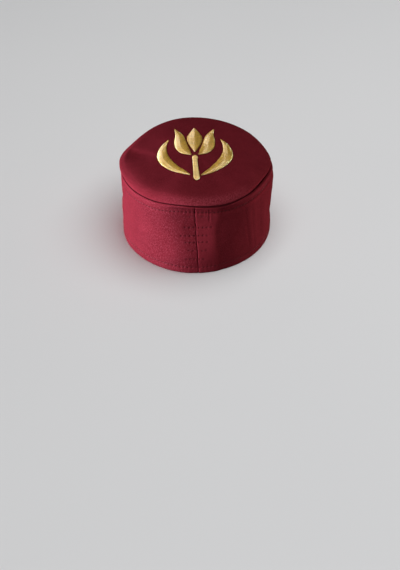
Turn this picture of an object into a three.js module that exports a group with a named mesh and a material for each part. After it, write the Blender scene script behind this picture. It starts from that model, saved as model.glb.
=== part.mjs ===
// A brimless prayer cap: a stiff upright cloth band, an oval cloth crown sewn
// to its top edge with a soft rolled shoulder, and a raised satin-stitch tulip
// embroidered on the crown.
//
// Frame: millimetres, +Z up. The cap stands on its hem at z = 0, with its
// origin at the middle of the hem. The wearer faces -Y, the closing seam of
// the band is at +Y, and the wearer's left is +X.

import * as THREE from "three";

// ---------------------------------------------------------------- sizes (mm)

// Plan of the hem, outside of the cloth. Half the sum of the two axes times
// two pi, less the cloth, is the head size that the cap fits, about 57 cm.
const HEM_HALF_WIDTH = 85.5;      // side to side
const HEM_HALF_LENGTH = 100.9;    // front to back
const BACK_WIDENING = 0.017;      // share by which the oval is wider at the back
const FRONT_NARROWING = 0.048;    // share by which it is narrower at the forehead
const DIAGONAL_EASE = 0.2;        // the oval is pulled in at its four diagonals

const BAND_HEIGHT = 80.8;         // hem to the crown seam, mean round the cap
const SEAM_INSET = 3.1;           // the crown seam lies inside the hem outline
const SEAM_GAP = 0.3;             // clearance between band and crown

// The crown seam rises and falls a little round the cap: it is lowest over the
// ears and highest at the middle of the back and at the forehead.
const SEAM_SWAY = [
  { waves: 1, cosine: 0.46, sine: 0.44 },
  { waves: 2, cosine: -1.69, sine: -0.48 },
  { waves: 3, cosine: -0.49, sine: 0.07 },
];

// Short stretches where the crown seam rides higher or lower than that.
const SEAM_RISES = [
  { name: "left of the back", at_deg: 80, half_deg: 20, rise: 1.4 },
  { name: "right of the back", at_deg: 109, half_deg: 16, rise: -1.2 },
  { name: "back", at_deg: 92, half_deg: 64, rise: 0.85 },
];

// Where the shoulder of the crown leaves its regular shape: "inset" presses
// the seam and the top of the band in, from the share "start" of its height
// up, "lift" raises the crown behind the shoulder, "puff" pushes only the
// shoulder out.
const SHOULDER_SHAPES = [
  { name: "back ease", at_deg: 92, half_deg: 64, start: 0.93, inset: -1.4, lift: 0.0, puff: 0.0 },
  { name: "right back press", at_deg: 147, half_deg: 28, start: 0.25, inset: 2.6, lift: 0.0, puff: 2.2 },
  { name: "front left press", at_deg: -46, half_deg: 44, start: 0.45, inset: 4.4, lift: 0.4, puff: 0.0 },
  { name: "left corner", at_deg: -12, half_deg: 17, start: 0.45, inset: 0.0, lift: 0.0, puff: 1.4 },
  { name: "left slope", at_deg: -12, half_deg: 40, start: 0.45, inset: 0.0, lift: -1.6, puff: 0.0 },
  { name: "left puff", at_deg: 5, half_deg: 60, start: 0.45, inset: 0.0, lift: 0.0, puff: 2.2 },
  { name: "right puff", at_deg: 175, half_deg: 60, start: 0.45, inset: 0.0, lift: 0.0, puff: 2.4 },
  { name: "right slope", at_deg: 184, half_deg: 40, start: 0.45, inset: 0.0, lift: -2.3, puff: 0.0 },
  { name: "right corner", at_deg: 200, half_deg: 26, start: 0.6, inset: 0.6, lift: 0.0, puff: 0.0 },
  { name: "front right press", at_deg: 222, half_deg: 40, start: 0.45, inset: 0.5, lift: 1.1, puff: 0.0 },
  { name: "front slope", at_deg: 262, half_deg: 96, start: 0.45, inset: 0.0, lift: -0.45, puff: 0.0 },
  { name: "front ease", at_deg: 272, half_deg: 40, start: 0.45, inset: 0.0, lift: -0.7, puff: 0.0 },
  { name: "front puff", at_deg: 270, half_deg: 110, start: 0.45, inset: 0.0, lift: 0.0, puff: 1.0 },
];

// Outside of the band from the hem up. "up" is the height on a band of mean
// height, "out" is how far the surface stands outside the hem outline, and
// "left" and "right" are what is added to it over each ear: the cap leans a
// little to its right and is waisted on its left. "back" is added across the
// back, and "ledge" on the right of it, where the seam allowance stands proud.
const SIDE_HALF_DEG = 80;         // the side columns fade out this far round
const LEDGE_AT_DEG = 150;
const LEDGE_HALF_DEG = 50;
const BAND_OUTSIDE = [
  { name: "standing face edge", up: 0.0, out: -0.8, left: 0.2, right: 0.0, back: 0.0, ledge: 0.0 },
  { name: "hem round", up: 0.3, out: -0.3, left: 0.2, right: 0.0, back: 0.0, ledge: 0.0 },
  { name: "hem fold", up: 1.2, out: 0.0, left: 0.2, right: 0.0, back: 0.0, ledge: 0.0 },
  { name: "hem swell", up: 4.0, out: 0.1, left: 0.1, right: 0.0, back: 0.0, ledge: 0.0 },
  { name: "hem stitch", up: 7.8, out: 0.0, left: 0.0, right: 0.0, back: 0.0, ledge: 0.0 },
  { name: "hem relief", up: 11.0, out: 0.1, left: -0.1, right: -0.1, back: 0.0, ledge: 0.0 },
  { name: "lower wall", up: 22.0, out: 0.3, left: -0.9, right: -1.2, back: 0.0, ledge: 0.0 },
  { name: "mid wall", up: 35.0, out: 0.1, left: -0.6, right: -0.1, back: 0.0, ledge: 0.0 },
  { name: "waist", up: 47.0, out: -0.8, left: -1.3, right: 2.3, back: 0.0, ledge: 0.0 },
  { name: "upper wall", up: 58.0, out: -0.6, left: -1.0, right: 2.6, back: 0.0, ledge: 0.0 },
  { name: "upper swell", up: 66.5, out: 0.1, left: -1.8, right: 2.1, back: 0.0, ledge: 0.0 },
  { name: "above swell", up: 70.3, out: 0.35, left: -2.1, right: 1.6, back: 0.0, ledge: 0.0 },
  { name: "top stitch", up: 72.9, out: 0.2, left: -1.9, right: 1.2, back: -0.1, ledge: 0.0 },
  { name: "allowance ridge", up: 75.6, out: 0.45, left: -2.1, right: 0.9, back: -0.5, ledge: 0.5 },
  { name: "ridge crest", up: 77.6, out: 0.4, left: -2.0, right: 0.8, back: -0.9, ledge: 1.0 },
  { name: "ridge turn", up: 79.2, out: 0.15, left: -1.6, right: 0.5, back: -1.1, ledge: 1.6 },
  { name: "seam bank", up: 80.1, out: -0.7, left: -1.0, right: 0.2, back: -0.9, ledge: 2.0 },
  { name: "seam roll", up: 80.45, out: -1.6, left: -0.6, right: 0.1, back: -0.5, ledge: 1.6 },
  { name: "seam edge", up: 80.6, out: -2.4, left: -0.2, right: 0.0, back: -0.1, ledge: 0.9 },
  { name: "seam lip", up: BAND_HEIGHT - SEAM_GAP / 2, out: -3.0, left: 0.0, right: 0.0, back: 0.0, ledge: 0.0 },
];

// Inside of the band from the crown seam down. Folded cloth makes the wall
// thicker under both stitched edges.
const BAND_INSIDE = [
  { name: "seam lip", up: BAND_HEIGHT - SEAM_GAP / 2, out: -5.4, left: 0.0, right: 0.0, back: 0.0, ledge: 0.0 },
  { name: "allowance top", up: 77.6, out: -3.6, left: -1.4, right: 0.7, back: -0.4, ledge: 0.0 },
  { name: "allowance", up: 72.5, out: -3.0, left: -1.8, right: 1.2, back: 0.0, ledge: 0.0 },
  { name: "allowance fold", up: 67.0, out: -2.7, left: -1.8, right: 2.0, back: 0.0, ledge: 0.0 },
  { name: "allowance edge", up: 65.5, out: -2.2, left: -1.8, right: 2.0, back: 0.0, ledge: 0.0 },
  { name: "waist", up: 47.0, out: -2.9, left: -1.3, right: 2.3, back: 0.0, ledge: 0.0 },
  { name: "mid wall", up: 34.0, out: -2.1, left: -0.6, right: -0.1, back: 0.0, ledge: 0.0 },
  { name: "hem turn edge", up: 28.4, out: -2.0, left: -0.8, right: -0.8, back: 0.0, ledge: 0.0 },
  { name: "hem turn", up: 26.6, out: -2.8, left: -0.8, right: -0.9, back: 0.0, ledge: 0.0 },
  { name: "hem turn wall", up: 14.0, out: -2.7, left: -0.4, right: -0.4, back: 0.0, ledge: 0.0 },
  { name: "hem stitch", up: 7.8, out: -2.9, left: 0.0, right: 0.0, back: 0.0, ledge: 0.0 },
  { name: "hem swell", up: 3.0, out: -3.0, left: 0.1, right: 0.0, back: 0.0, ledge: 0.0 },
  { name: "hem round", up: 0.8, out: -2.9, left: 0.2, right: 0.0, back: 0.0, ledge: 0.0 },
  { name: "standing face edge", up: 0.0, out: -2.2, left: 0.2, right: 0.0, back: 0.0, ledge: 0.0 },
];

// The wall turns along its height at the back: rounder left of the closing seam
// at the hem, flatter there below the top edge.
const HEM_TURN = 2.0, HEM_TURN_TOP = 46, HEM_TURN_DEPTH = 30;
const TOP_TURN = 3.6, TOP_TURN_FOOT = 28, TOP_TURN_DEPTH = 42;

// Sides where the shoulder is folded sharp instead of round: the rows of the
// crown are lifted by "crisp" there.
const CRISP_SIDES = [
  { name: "far left", at_deg: -36, half_deg: 62, share: 1.0 },
  { name: "right", at_deg: 196, half_deg: 62, share: 0.7 },
];

// Crown, outside, from the seam to the middle. "inset" is measured in from the
// seam, "back" is added to it across the back and "wide" only near its middle,
// "share" is the share of what remains to the middle after the shoulder,
// "rise" is the height above the seam.
const WIDE_AT_DEG = 97;
const WIDE_HALF_DEG = 55;
const SHOULDER_WIDTH = 16.0;
const CROWN_OUTSIDE = [
  { name: "seam", inset: 0.0, back: 0.0, wide: 0.0, share: 0.0, crisp: 0.0, rise: SEAM_GAP / 2 },
  { name: "seam edge", inset: -0.1, back: 0.1, wide: 0.0, share: 0.0, crisp: 0.0, rise: 0.6 },
  { name: "shoulder foot", inset: -0.3, back: 0.7, wide: 0.0, share: 0.0, crisp: 0.15, rise: 1.6 },
  { name: "shoulder side", inset: -0.5, back: 2.2, wide: 0.1, share: 0.0, crisp: 0.5, rise: 3.4 },
  { name: "shoulder turn", inset: 0.1, back: 3.3, wide: 0.9, share: 0.0, crisp: 1.0, rise: 5.2 },
  { name: "shoulder top", inset: 2.0, back: 3.6, wide: 1.8, share: 0.0, crisp: 1.1, rise: 6.9 },
  { name: "shoulder back", inset: 5.3, back: 3.0, wide: 2.6, share: 0.0, crisp: 0.8, rise: 8.1 },
  { name: "shoulder ease", inset: 10.0, back: 1.5, wide: 3.5, share: 0.0, crisp: 0.4, rise: 8.8 },
  { name: "plate edge", inset: 16.0, back: 0.0, wide: 4.0, share: 0.0, crisp: 0.0, rise: 9.2 },
  { name: "plate outer", inset: 16.0, back: 0.0, wide: 0.0, share: 0.14, crisp: 0.0, rise: 9.7 },
  { name: "plate fold", inset: 16.0, back: 0.0, wide: 0.0, share: 0.3, crisp: 0.0, rise: 10.3 },
  { name: "plate middle", inset: 16.0, back: 0.0, wide: 0.0, share: 0.48, crisp: 0.0, rise: 10.9 },
  { name: "plate inner", inset: 16.0, back: 0.0, wide: 0.0, share: 0.7, crisp: 0.0, rise: 11.5 },
  { name: "middle", inset: 16.0, back: 0.0, wide: 0.0, share: 1.0, crisp: 0.0, rise: 11.9 },
];

// Crown, inside, from the middle back to the seam.
const CROWN_INSIDE = [
  { name: "middle", inset: 16.0, back: 0.0, wide: 0.0, share: 1.0, crisp: 0.0, rise: 9.9 },
  { name: "plate inner", inset: 16.0, back: 0.0, wide: 0.0, share: 0.65, crisp: 0.0, rise: 9.4 },
  { name: "plate outer", inset: 16.0, back: 0.0, wide: 0.0, share: 0.3, crisp: 0.0, rise: 8.3 },
  { name: "plate edge", inset: 16.0, back: 0.0, wide: 4.0, share: 0.0, crisp: 0.0, rise: 7.2 },
  { name: "shoulder ease", inset: 10.2, back: 1.5, wide: 3.5, share: 0.0, crisp: 0.4, rise: 6.8 },
  { name: "shoulder back", inset: 6.2, back: 3.0, wide: 2.4, share: 0.0, crisp: 0.8, rise: 6.1 },
  { name: "shoulder turn", inset: 3.4, back: 3.4, wide: 1.2, share: 0.0, crisp: 1.0, rise: 5.1 },
  { name: "shoulder side", inset: 1.7, back: 1.8, wide: 0.4, share: 0.0, crisp: 0.5, rise: 3.0 },
  { name: "seam", inset: 1.9, back: 0.0, wide: 0.0, share: 0.0, crisp: 0.0, rise: SEAM_GAP / 2 },
];

// Soft folds across the crown plate: a valley along a line. "far" and "near"
// are the half widths of its two banks, away from the back of the cap and
// towards it, "start" and "end" the shares of its length that it fades over.
const CROWN_FOLDS = [
  { name: "side fold left", x0: 86, y0: -26, x1: 34, y1: 5, depth: 1.9, far: 6, near: 15, start: 0.35, end: 0.55 },
  { name: "side fold right", x0: -90, y0: 6, x1: -56, y1: -6, depth: 0.8, far: 7, near: 6, start: 0.3, end: 0.6 },
  { name: "soft middle", x0: 20, y0: -48, x1: -30, y1: -52, depth: 0.35, far: 14, near: 14, start: 0.3, end: 0.45 },
];

// Upright dents and ripples of the band.
const BAND_FOLDS = [
  { name: "right waist dent", at_deg: 177, half_deg: 14, up: 45, half_up: 12, depth: 0.6 },
  { name: "right back ripple", at_deg: 137, half_deg: 8, up: 46, half_up: 34, depth: 0.55 },
  { name: "right side ripple", at_deg: 154, half_deg: 7, up: 42, half_up: 34, depth: 0.45 },
  { name: "left waist dent", at_deg: 6, half_deg: 18, up: 50, half_up: 14, depth: 0.4 },
  { name: "front dent", at_deg: 262, half_deg: 24, up: 48, half_up: 20, depth: 0.8 },
];

// Embroidery: satin stitch stands this high over the crown.
const STITCH_CLEARANCE = 0.3;
const STITCH_EDGE_HEIGHT = 0.45;
const STITCH_MID_HEIGHT = 0.7;

// Centre line of each motif and half its width. "across" is to the right as
// seen from behind the wearer, "along" points to the wearer's front.
const TULIP = [
  { node: "tulip_stem", mirror: false, rows: [
    { across: 0.9, along: -60.0, half: 0.6 },
    { across: 1.2, along: -56.0, half: 3.1 },
    { across: 1.0, along: -46.0, half: 3.2 },
    { across: 0.3, along: -30.0, half: 2.8 },
    { across: -0.1, along: -16.0, half: 2.6 },
    { across: 0.0, along: -8.0, half: 2.9 },
    { across: 0.0, along: -5.0, half: 0.6 },
  ] },
  { node: "tulip_leaf", mirror: true, rows: [
    { across: 6.2, along: -49.0, half: 0.4 },
    { across: 14.0, along: -41.5, half: 3.4 },
    { across: 24.5, along: -30.0, half: 5.8 },
    { across: 33.0, along: -14.0, half: 6.8 },
    { across: 36.6, along: 3.0, half: 5.8 },
    { across: 35.4, along: 19.0, half: 3.4 },
    { across: 30.0, along: 33.0, half: 0.4 },
  ] },
  { node: "tulip_petal", mirror: true, rows: [
    { across: 4.2, along: -2.6, half: 0.7 },
    { across: 9.6, along: 4.0, half: 5.0 },
    { across: 14.6, along: 15.0, half: 7.0 },
    { across: 16.6, along: 29.0, half: 6.6 },
    { across: 17.6, along: 43.0, half: 4.4 },
    { across: 22.6, along: 59.0, half: 0.4 },
  ] },
  { node: "tulip_petal_centre", mirror: false, rows: [
    { across: 0.0, along: 3.5, half: 0.6 },
    { across: 0.0, along: 13.0, half: 4.2 },
    { across: 0.0, along: 27.0, half: 8.0 },
    { across: 0.0, along: 39.0, half: 8.6 },
    { across: 0.0, along: 50.0, half: 5.6 },
    { across: 0.0, along: 62.5, half: 0.4 },
  ] },
];

const AROUND = 76;                // points round the cap, a multiple of four
const STATIONS = 15;              // stations along one embroidered motif

// ------------------------------------------------------------------ helpers

const rad = (degrees) => (degrees * Math.PI) / 180;
const clamp01 = (v) => Math.min(1, Math.max(0, v));
const smooth = (v) => { const t = clamp01(v); return t * t * (3 - 2 * t); };

// 1 at the middle of a stretch, 0 at its ends, with a soft top.
function bump(value, middle, half) {
  const t = Math.abs(value - middle) / half;
  return t >= 1 ? 0 : (0.5 + 0.5 * Math.cos(Math.PI * t));
}

// The same round the cap, where angles wrap.
function bumpRound(angle, at_deg, half_deg) {
  let turn = (((angle * 180) / Math.PI - at_deg) % 360 + 540) % 360 - 180;
  return bump(turn, 0, half_deg);
}

// ------------------------------------------------- outline, seam and folds

// Distance from the upright axis to the hem outline, in direction angle.
function hemRadius(angle) {
  const c = Math.cos(angle), s = Math.sin(angle);
  const oval = 1 / Math.hypot(c / HEM_HALF_WIDTH, s / HEM_HALF_LENGTH);
  const back = (oval * s) / HEM_HALF_LENGTH, front = Math.min(0, back);
  const width = HEM_HALF_WIDTH * (1 + BACK_WIDENING * back - FRONT_NARROWING * front * front);
  const egg = 1 / Math.hypot(c / width, s / HEM_HALF_LENGTH);
  return egg - DIAGONAL_EASE * Math.sin(2 * angle) ** 2;
}

function seamHeight(angle) {
  let height = BAND_HEIGHT;
  for (const w of SEAM_SWAY) {
    height += w.cosine * Math.cos(w.waves * angle) + w.sine * Math.sin(w.waves * angle);
  }
  for (const w of SEAM_RISES) height += w.rise * bumpRound(angle, w.at_deg, w.half_deg);
  return height;
}

function shoulderShape(angle, column) {
  let sum = 0;
  for (const d of SHOULDER_SHAPES) sum += d[column] * bumpRound(angle, d.at_deg, d.half_deg);
  return sum;
}

// How far the presses of the shoulder reach into the wall, by share of its height.
function wallPress(angle, share) {
  let sum = 0;
  for (const d of SHOULDER_SHAPES) {
    if (d.inset) sum += d.inset * bumpRound(angle, d.at_deg, d.half_deg) * smooth((share - d.start) / (1 - d.start));
  }
  return sum;
}

// 1 across the back of the cap, 0 from its sides forward.
const backShare = (angle) => smooth((Math.sin(angle) - 0.05) / 0.5);

function crispShare(angle) {
  let sum = 0;
  for (const d of CRISP_SIDES) sum += d.share * bumpRound(angle, d.at_deg, d.half_deg);
  return sum;
}

// Outward shift of the back wall by its turn, z up from the hem.
function wallTurn(angle, z, up) {
  const turned = Math.atan2(Math.cos(angle), Math.sin(angle));      // from the back, + to the left
  const arc = turned * (HEM_HALF_WIDTH + HEM_HALF_LENGTH) / 2;
  const low = HEM_TURN * smooth((HEM_TURN_TOP - z) / HEM_TURN_DEPTH) * (0.3 + 0.7 * smooth((z - 2) / 24));
  const high = TOP_TURN * smooth((z - TOP_TURN_FOOT) / TOP_TURN_DEPTH) * smooth((80 - up) / 4);
  const away = 1 - smooth((arc - 2) / 72);
  const out = arc > 0 ? (1.75 * away - 0.75) * smooth((118 - arc) / 40) : smooth((arc + 30) / 30);
  const pressed = arc > 3 ? 1 - smooth((arc - 3) / 38) : smooth((arc + 70) / 73);
  return low * out - high * pressed;
}

const seamRadius = (angle) => hemRadius(angle) - SEAM_INSET - shoulderShape(angle, "inset");

function bandFold(angle, up) {
  let depth = 0;
  for (const f of BAND_FOLDS) {
    depth += f.depth * bumpRound(angle, f.at_deg, f.half_deg) * bump(up, f.up, f.half_up);
  }
  return depth;
}

function crownFold(x, y) {
  let depth = 0;
  for (const f of CROWN_FOLDS) {
    const dx = f.x1 - f.x0, dy = f.y1 - f.y0, length = Math.hypot(dx, dy);
    const along = ((x - f.x0) * dx + (y - f.y0) * dy) / (length * length);
    const across = ((y - f.y0) * dx - (x - f.x0) * dy) / length;
    const fade = smooth(along / f.start) * smooth((1 - along) / f.end);
    const half = across * dx > 0 ? f.near : f.far;
    depth += f.depth * fade * Math.exp(-((across / half) ** 2));
  }
  return depth;
}

// -------------------------------------------------------------- point rules

function bandPoint(angle, row) {
  const share = row.up / BAND_HEIGHT, z = share * seamHeight(angle);
  const sides = row.left * bumpRound(angle, 0, SIDE_HALF_DEG)
    + row.right * bumpRound(angle, 180, SIDE_HALF_DEG)
    + row.back * backShare(angle)
    + row.ledge * bumpRound(angle, LEDGE_AT_DEG, LEDGE_HALF_DEG);
  const r = hemRadius(angle) + row.out + sides - wallPress(angle, share) - bandFold(angle, row.up)
    + wallTurn(angle, z, row.up);
  return new THREE.Vector3(r * Math.cos(angle), r * Math.sin(angle), z);
}

// Height of a crown surface above the floor, for a point this far in.
function crownHeight(angle, x, y, insetTotal, rise) {
  const nearness = 1 - clamp01(insetTotal / seamRadius(angle));
  const sway = (seamHeight(angle) - BAND_HEIGHT) * nearness;
  const lift = shoulderShape(angle, "lift") * nearness * smooth(rise / 8.5);
  const folds = crownFold(x, y) * smooth((insetTotal - 0.5) / 7);
  return BAND_HEIGHT + sway + lift + rise - folds;
}

function crownPoint(angle, row) {
  const edge = seamRadius(angle);
  const rise = row.rise + row.crisp * crispShare(angle);
  const puff = shoulderShape(angle, "puff") * bump(rise, 4.2, 4.4);
  const ease = row.back * backShare(angle) + row.wide * bumpRound(angle, WIDE_AT_DEG, WIDE_HALF_DEG);
  const insetTotal = row.inset + ease - puff + row.share * (edge - SHOULDER_WIDTH);
  const r = edge - insetTotal;
  const x = r * Math.cos(angle), y = r * Math.sin(angle);
  return new THREE.Vector3(x, y, crownHeight(angle, x, y, insetTotal, rise));
}

// Outside height of the crown over any point of its plate.
function crownTop(x, y) {
  const angle = Math.atan2(y, x);
  const edge = seamRadius(angle);
  const insetTotal = edge - Math.hypot(x, y);
  const place = insetTotal <= SHOULDER_WIDTH
    ? insetTotal
    : SHOULDER_WIDTH + (100 * (insetTotal - SHOULDER_WIDTH)) / (edge - SHOULDER_WIDTH);
  let rise = CROWN_OUTSIDE[CROWN_OUTSIDE.length - 1].rise;
  for (let i = 1; i < CROWN_OUTSIDE.length; i++) {
    const a = CROWN_OUTSIDE[i - 1], b = CROWN_OUTSIDE[i];
    const pa = a.inset + 100 * a.share, pb = b.inset + 100 * b.share;
    if (place <= pb) { rise = a.rise + ((b.rise - a.rise) * (place - pa)) / (pb - pa); break; }
  }
  return crownHeight(angle, x, y, insetTotal, rise);
}

// ------------------------------------------------------------------ lofting

// Joins rings of points, in order, into one closed surface. A ring of one
// point closes an end; with wrap the last ring joins the first.
function loft(rings, wrap) {
  const positions = [], starts = [];
  for (const ring of rings) {
    starts.push(positions.length / 3);
    for (const p of ring) positions.push(p.x, p.y, p.z);
  }
  const faces = [];
  const last = wrap ? rings.length : rings.length - 1;
  for (let i = 0; i < last; i++) {
    const k = (i + 1) % rings.length;
    const a = starts[i], b = starts[k], na = rings[i].length, nb = rings[k].length;
    const n = Math.max(na, nb);
    for (let j = 0; j < n; j++) {
      const j1 = (j + 1) % n;
      const a0 = na === 1 ? a : a + j, a1 = na === 1 ? a : a + j1;
      const b0 = nb === 1 ? b : b + j, b1 = nb === 1 ? b : b + j1;
      if (na > 1) faces.push(a0, a1, b1);
      if (nb > 1) faces.push(a0, b1, b0);
    }
  }
  // Turn the faces out when the enclosed volume comes out negative.
  let volume = 0;
  const at = (v) => new THREE.Vector3(positions[3 * v], positions[3 * v + 1], positions[3 * v + 2]);
  for (let f = 0; f < faces.length; f += 3) {
    volume += at(faces[f]).dot(at(faces[f + 1]).cross(at(faces[f + 2])));
  }
  if (volume < 0) {
    for (let f = 0; f < faces.length; f += 3) [faces[f], faces[f + 1]] = [faces[f + 1], faces[f]];
  }
  const geometry = new THREE.BufferGeometry();
  geometry.setAttribute("position", new THREE.Float32BufferAttribute(positions, 3));
  geometry.setIndex(faces);
  geometry.computeVertexNormals();
  return geometry;
}

function ringOf(rule, row) {
  const ring = [];
  for (let j = 0; j < AROUND; j++) ring.push(rule((2 * Math.PI * j) / AROUND, row));
  return ring;
}

// ------------------------------------------------------------------- pieces

function bandGeometry() {
  const rows = [...BAND_OUTSIDE, ...BAND_INSIDE];
  return loft(rows.map((row) => ringOf(bandPoint, row)), true);
}

function crownGeometry() {
  const outside = CROWN_OUTSIDE.map((row) =>
    row.share >= 1 ? [crownPoint(0, row)] : ringOf(crownPoint, row));
  const inside = CROWN_INSIDE.map((row) =>
    row.share >= 1 ? [crownPoint(0, row)] : ringOf(crownPoint, row));
  return loft([...inside, ...outside], false);
}

// One embroidered motif: a domed ribbon along its centre line, lying on the
// crown and pointed or rounded at its ends by its half width.
function motifGeometry(rows, side) {
  const line = new THREE.CatmullRomCurve3(
    rows.map((r) => new THREE.Vector3(-side * r.across, -r.along, r.half)), false, "centripetal");
  const section = [
    { side: -1.0, lift: 0 },
    { side: -0.78, lift: STITCH_EDGE_HEIGHT },
    { side: 0.0, lift: STITCH_MID_HEIGHT },
    { side: 0.78, lift: STITCH_EDGE_HEIGHT },
    { side: 1.0, lift: 0 },
    { side: 0.0, lift: 0 },
  ];
  const lay = (x, y, lift) => new THREE.Vector3(x, y, crownTop(x, y) + STITCH_CLEARANCE + lift);
  const rings = [];
  const first = line.getPoint(0), lastPoint = line.getPoint(1);
  const ahead = line.getTangent(0), behind = line.getTangent(1);
  rings.push([lay(first.x - 0.4 * ahead.x, first.y - 0.4 * ahead.y, 0.25)]);
  for (let i = 0; i < STATIONS; i++) {
    const t = i / (STATIONS - 1);
    const p = line.getPoint(t), g = line.getTangent(t);
    const length = Math.hypot(g.x, g.y), nx = -g.y / length, ny = g.x / length;
    const half = Math.max(p.z, 0.35), thin = Math.min(1, 0.45 + half / 3.5);
    rings.push(section.map((s) => lay(p.x + nx * half * s.side, p.y + ny * half * s.side, s.lift * thin)));
  }
  rings.push([lay(lastPoint.x + 0.4 * behind.x, lastPoint.y + 0.4 * behind.y, 0.25)]);
  return loft(rings, false);
}

// ----------------------------------------------------------------- assembly

const cloth = new THREE.MeshStandardMaterial({ color: 0x7a2233, roughness: 0.62, metalness: 0.0 });
const crownCloth = new THREE.MeshStandardMaterial({ color: 0x6c1c2b, roughness: 0.62, metalness: 0.0 });
const gold = new THREE.MeshStandardMaterial({ color: 0xc09a50, roughness: 0.38, metalness: 0.35 });

function piece(name, geometry, material) {
  const mesh = new THREE.Mesh(geometry, material);
  mesh.name = name;
  return mesh;
}

const cap = new THREE.Group();
cap.name = "prayer_cap";
cap.add(piece("band", bandGeometry(), cloth));
cap.add(piece("crown", crownGeometry(), crownCloth));

const embroidery = new THREE.Group();
embroidery.name = "embroidery";
for (const motif of TULIP) {
  if (motif.mirror) {
    embroidery.add(piece(`${motif.node}_left`, motifGeometry(motif.rows, -1), gold));
    embroidery.add(piece(`${motif.node}_right`, motifGeometry(motif.rows, 1), gold));
  } else {
    embroidery.add(piece(motif.node, motifGeometry(motif.rows, 1), gold));
  }
}
cap.add(embroidery);

// Centre the whole cap over the origin, on its bounding box, with the hem on
// the floor.
const box = new THREE.Box3().setFromObject(cap);
const middle = box.getCenter(new THREE.Vector3());
cap.position.set(-middle.x, -middle.y, -box.min.z);
cap.updateMatrixWorld(true);

export default cap;
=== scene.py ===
# Looks of the prayer cap: modelled cloth for the band and the crown, needle
# holes and thread for every stitched row, and a satin-stitch tulip laid thread
# by thread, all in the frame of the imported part.
#
# Lengths below are millimetres, angles degrees. The wearer faces -Y, the
# closing seam of the band is at +Y, and the wearer's left is +X.

import math

import bpy
import numpy as np
from mathutils import Matrix, Vector


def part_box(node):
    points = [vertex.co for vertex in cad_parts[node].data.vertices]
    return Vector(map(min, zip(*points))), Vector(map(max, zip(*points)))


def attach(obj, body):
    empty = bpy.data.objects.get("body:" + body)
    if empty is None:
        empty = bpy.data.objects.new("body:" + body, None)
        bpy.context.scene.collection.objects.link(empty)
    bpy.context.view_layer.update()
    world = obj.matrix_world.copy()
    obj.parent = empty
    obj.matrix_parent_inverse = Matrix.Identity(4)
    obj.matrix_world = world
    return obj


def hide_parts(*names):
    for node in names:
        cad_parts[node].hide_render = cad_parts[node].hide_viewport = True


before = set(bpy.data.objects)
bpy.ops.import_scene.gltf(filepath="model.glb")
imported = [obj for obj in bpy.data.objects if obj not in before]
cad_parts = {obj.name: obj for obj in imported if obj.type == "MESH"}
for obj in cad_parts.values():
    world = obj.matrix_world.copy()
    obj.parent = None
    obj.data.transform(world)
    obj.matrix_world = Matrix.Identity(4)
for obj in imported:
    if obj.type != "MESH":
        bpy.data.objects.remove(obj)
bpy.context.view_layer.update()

# ------------------------------------------------------------ construction

HEM_HALF_WIDTH = 85.5
HEM_HALF_LENGTH = 100.9
BACK_WIDENING = 0.017
FRONT_NARROWING = 0.048
DIAGONAL_EASE = 0.2
BAND_HEIGHT = 80.8
SEAM_INSET = 3.1
SEAM_GAP = 0.3
SIDE_HALF_DEG = 80
SHOULDER_WIDTH = 16.0

SEAM_SWAY = [
    dict(waves=1, cosine=0.46, sine=0.44),
    dict(waves=2, cosine=-1.69, sine=-0.48),
    dict(waves=3, cosine=-0.49, sine=0.07),
]

# Places where the crown seam rides higher or lower than its slow sway.
SEAM_RISES = [
    dict(name="left of the back", at_deg=80, half_deg=20, rise=1.4),
    dict(name="right of the back", at_deg=109, half_deg=16, rise=-1.2),
    dict(name="back", at_deg=92, half_deg=64, rise=0.85),
]

SHOULDER_SHAPES = [
    dict(name="back ease", at_deg=92, half_deg=64, inset=-1.4, lift=0.0, puff=0.0, start=0.93),
    dict(name="right back press", at_deg=147, half_deg=28, inset=2.6, lift=0.0, puff=2.2, start=0.25),
    dict(name="front left press", at_deg=-46, half_deg=44, inset=4.4, lift=0.4, puff=0.0, start=0.45),
    dict(name="left corner", at_deg=-12, half_deg=17, inset=0.0, lift=0.0, puff=1.4, start=0.45),
    dict(name="left slope", at_deg=-12, half_deg=40, inset=0.0, lift=-1.6, puff=0.0, start=0.45),
    dict(name="left puff", at_deg=5, half_deg=60, inset=0.0, lift=0.0, puff=2.2, start=0.45),
    dict(name="right puff", at_deg=175, half_deg=60, inset=0.0, lift=0.0, puff=2.4, start=0.45),
    dict(name="right slope", at_deg=184, half_deg=40, inset=0.0, lift=-2.3, puff=0.0, start=0.45),
    dict(name="right corner", at_deg=200, half_deg=26, inset=0.6, lift=0.0, puff=0.0, start=0.6),
    dict(name="front right press", at_deg=222, half_deg=40, inset=0.5, lift=1.1, puff=0.0, start=0.45),
    dict(name="front slope", at_deg=262, half_deg=96, inset=0.0, lift=-0.45, puff=0.0, start=0.45),
    dict(name="front ease", at_deg=272, half_deg=40, inset=0.0, lift=-0.7, puff=0.0, start=0.45),
    dict(name="front puff", at_deg=270, half_deg=110, inset=0.0, lift=0.0, puff=1.0, start=0.45),
]

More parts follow.
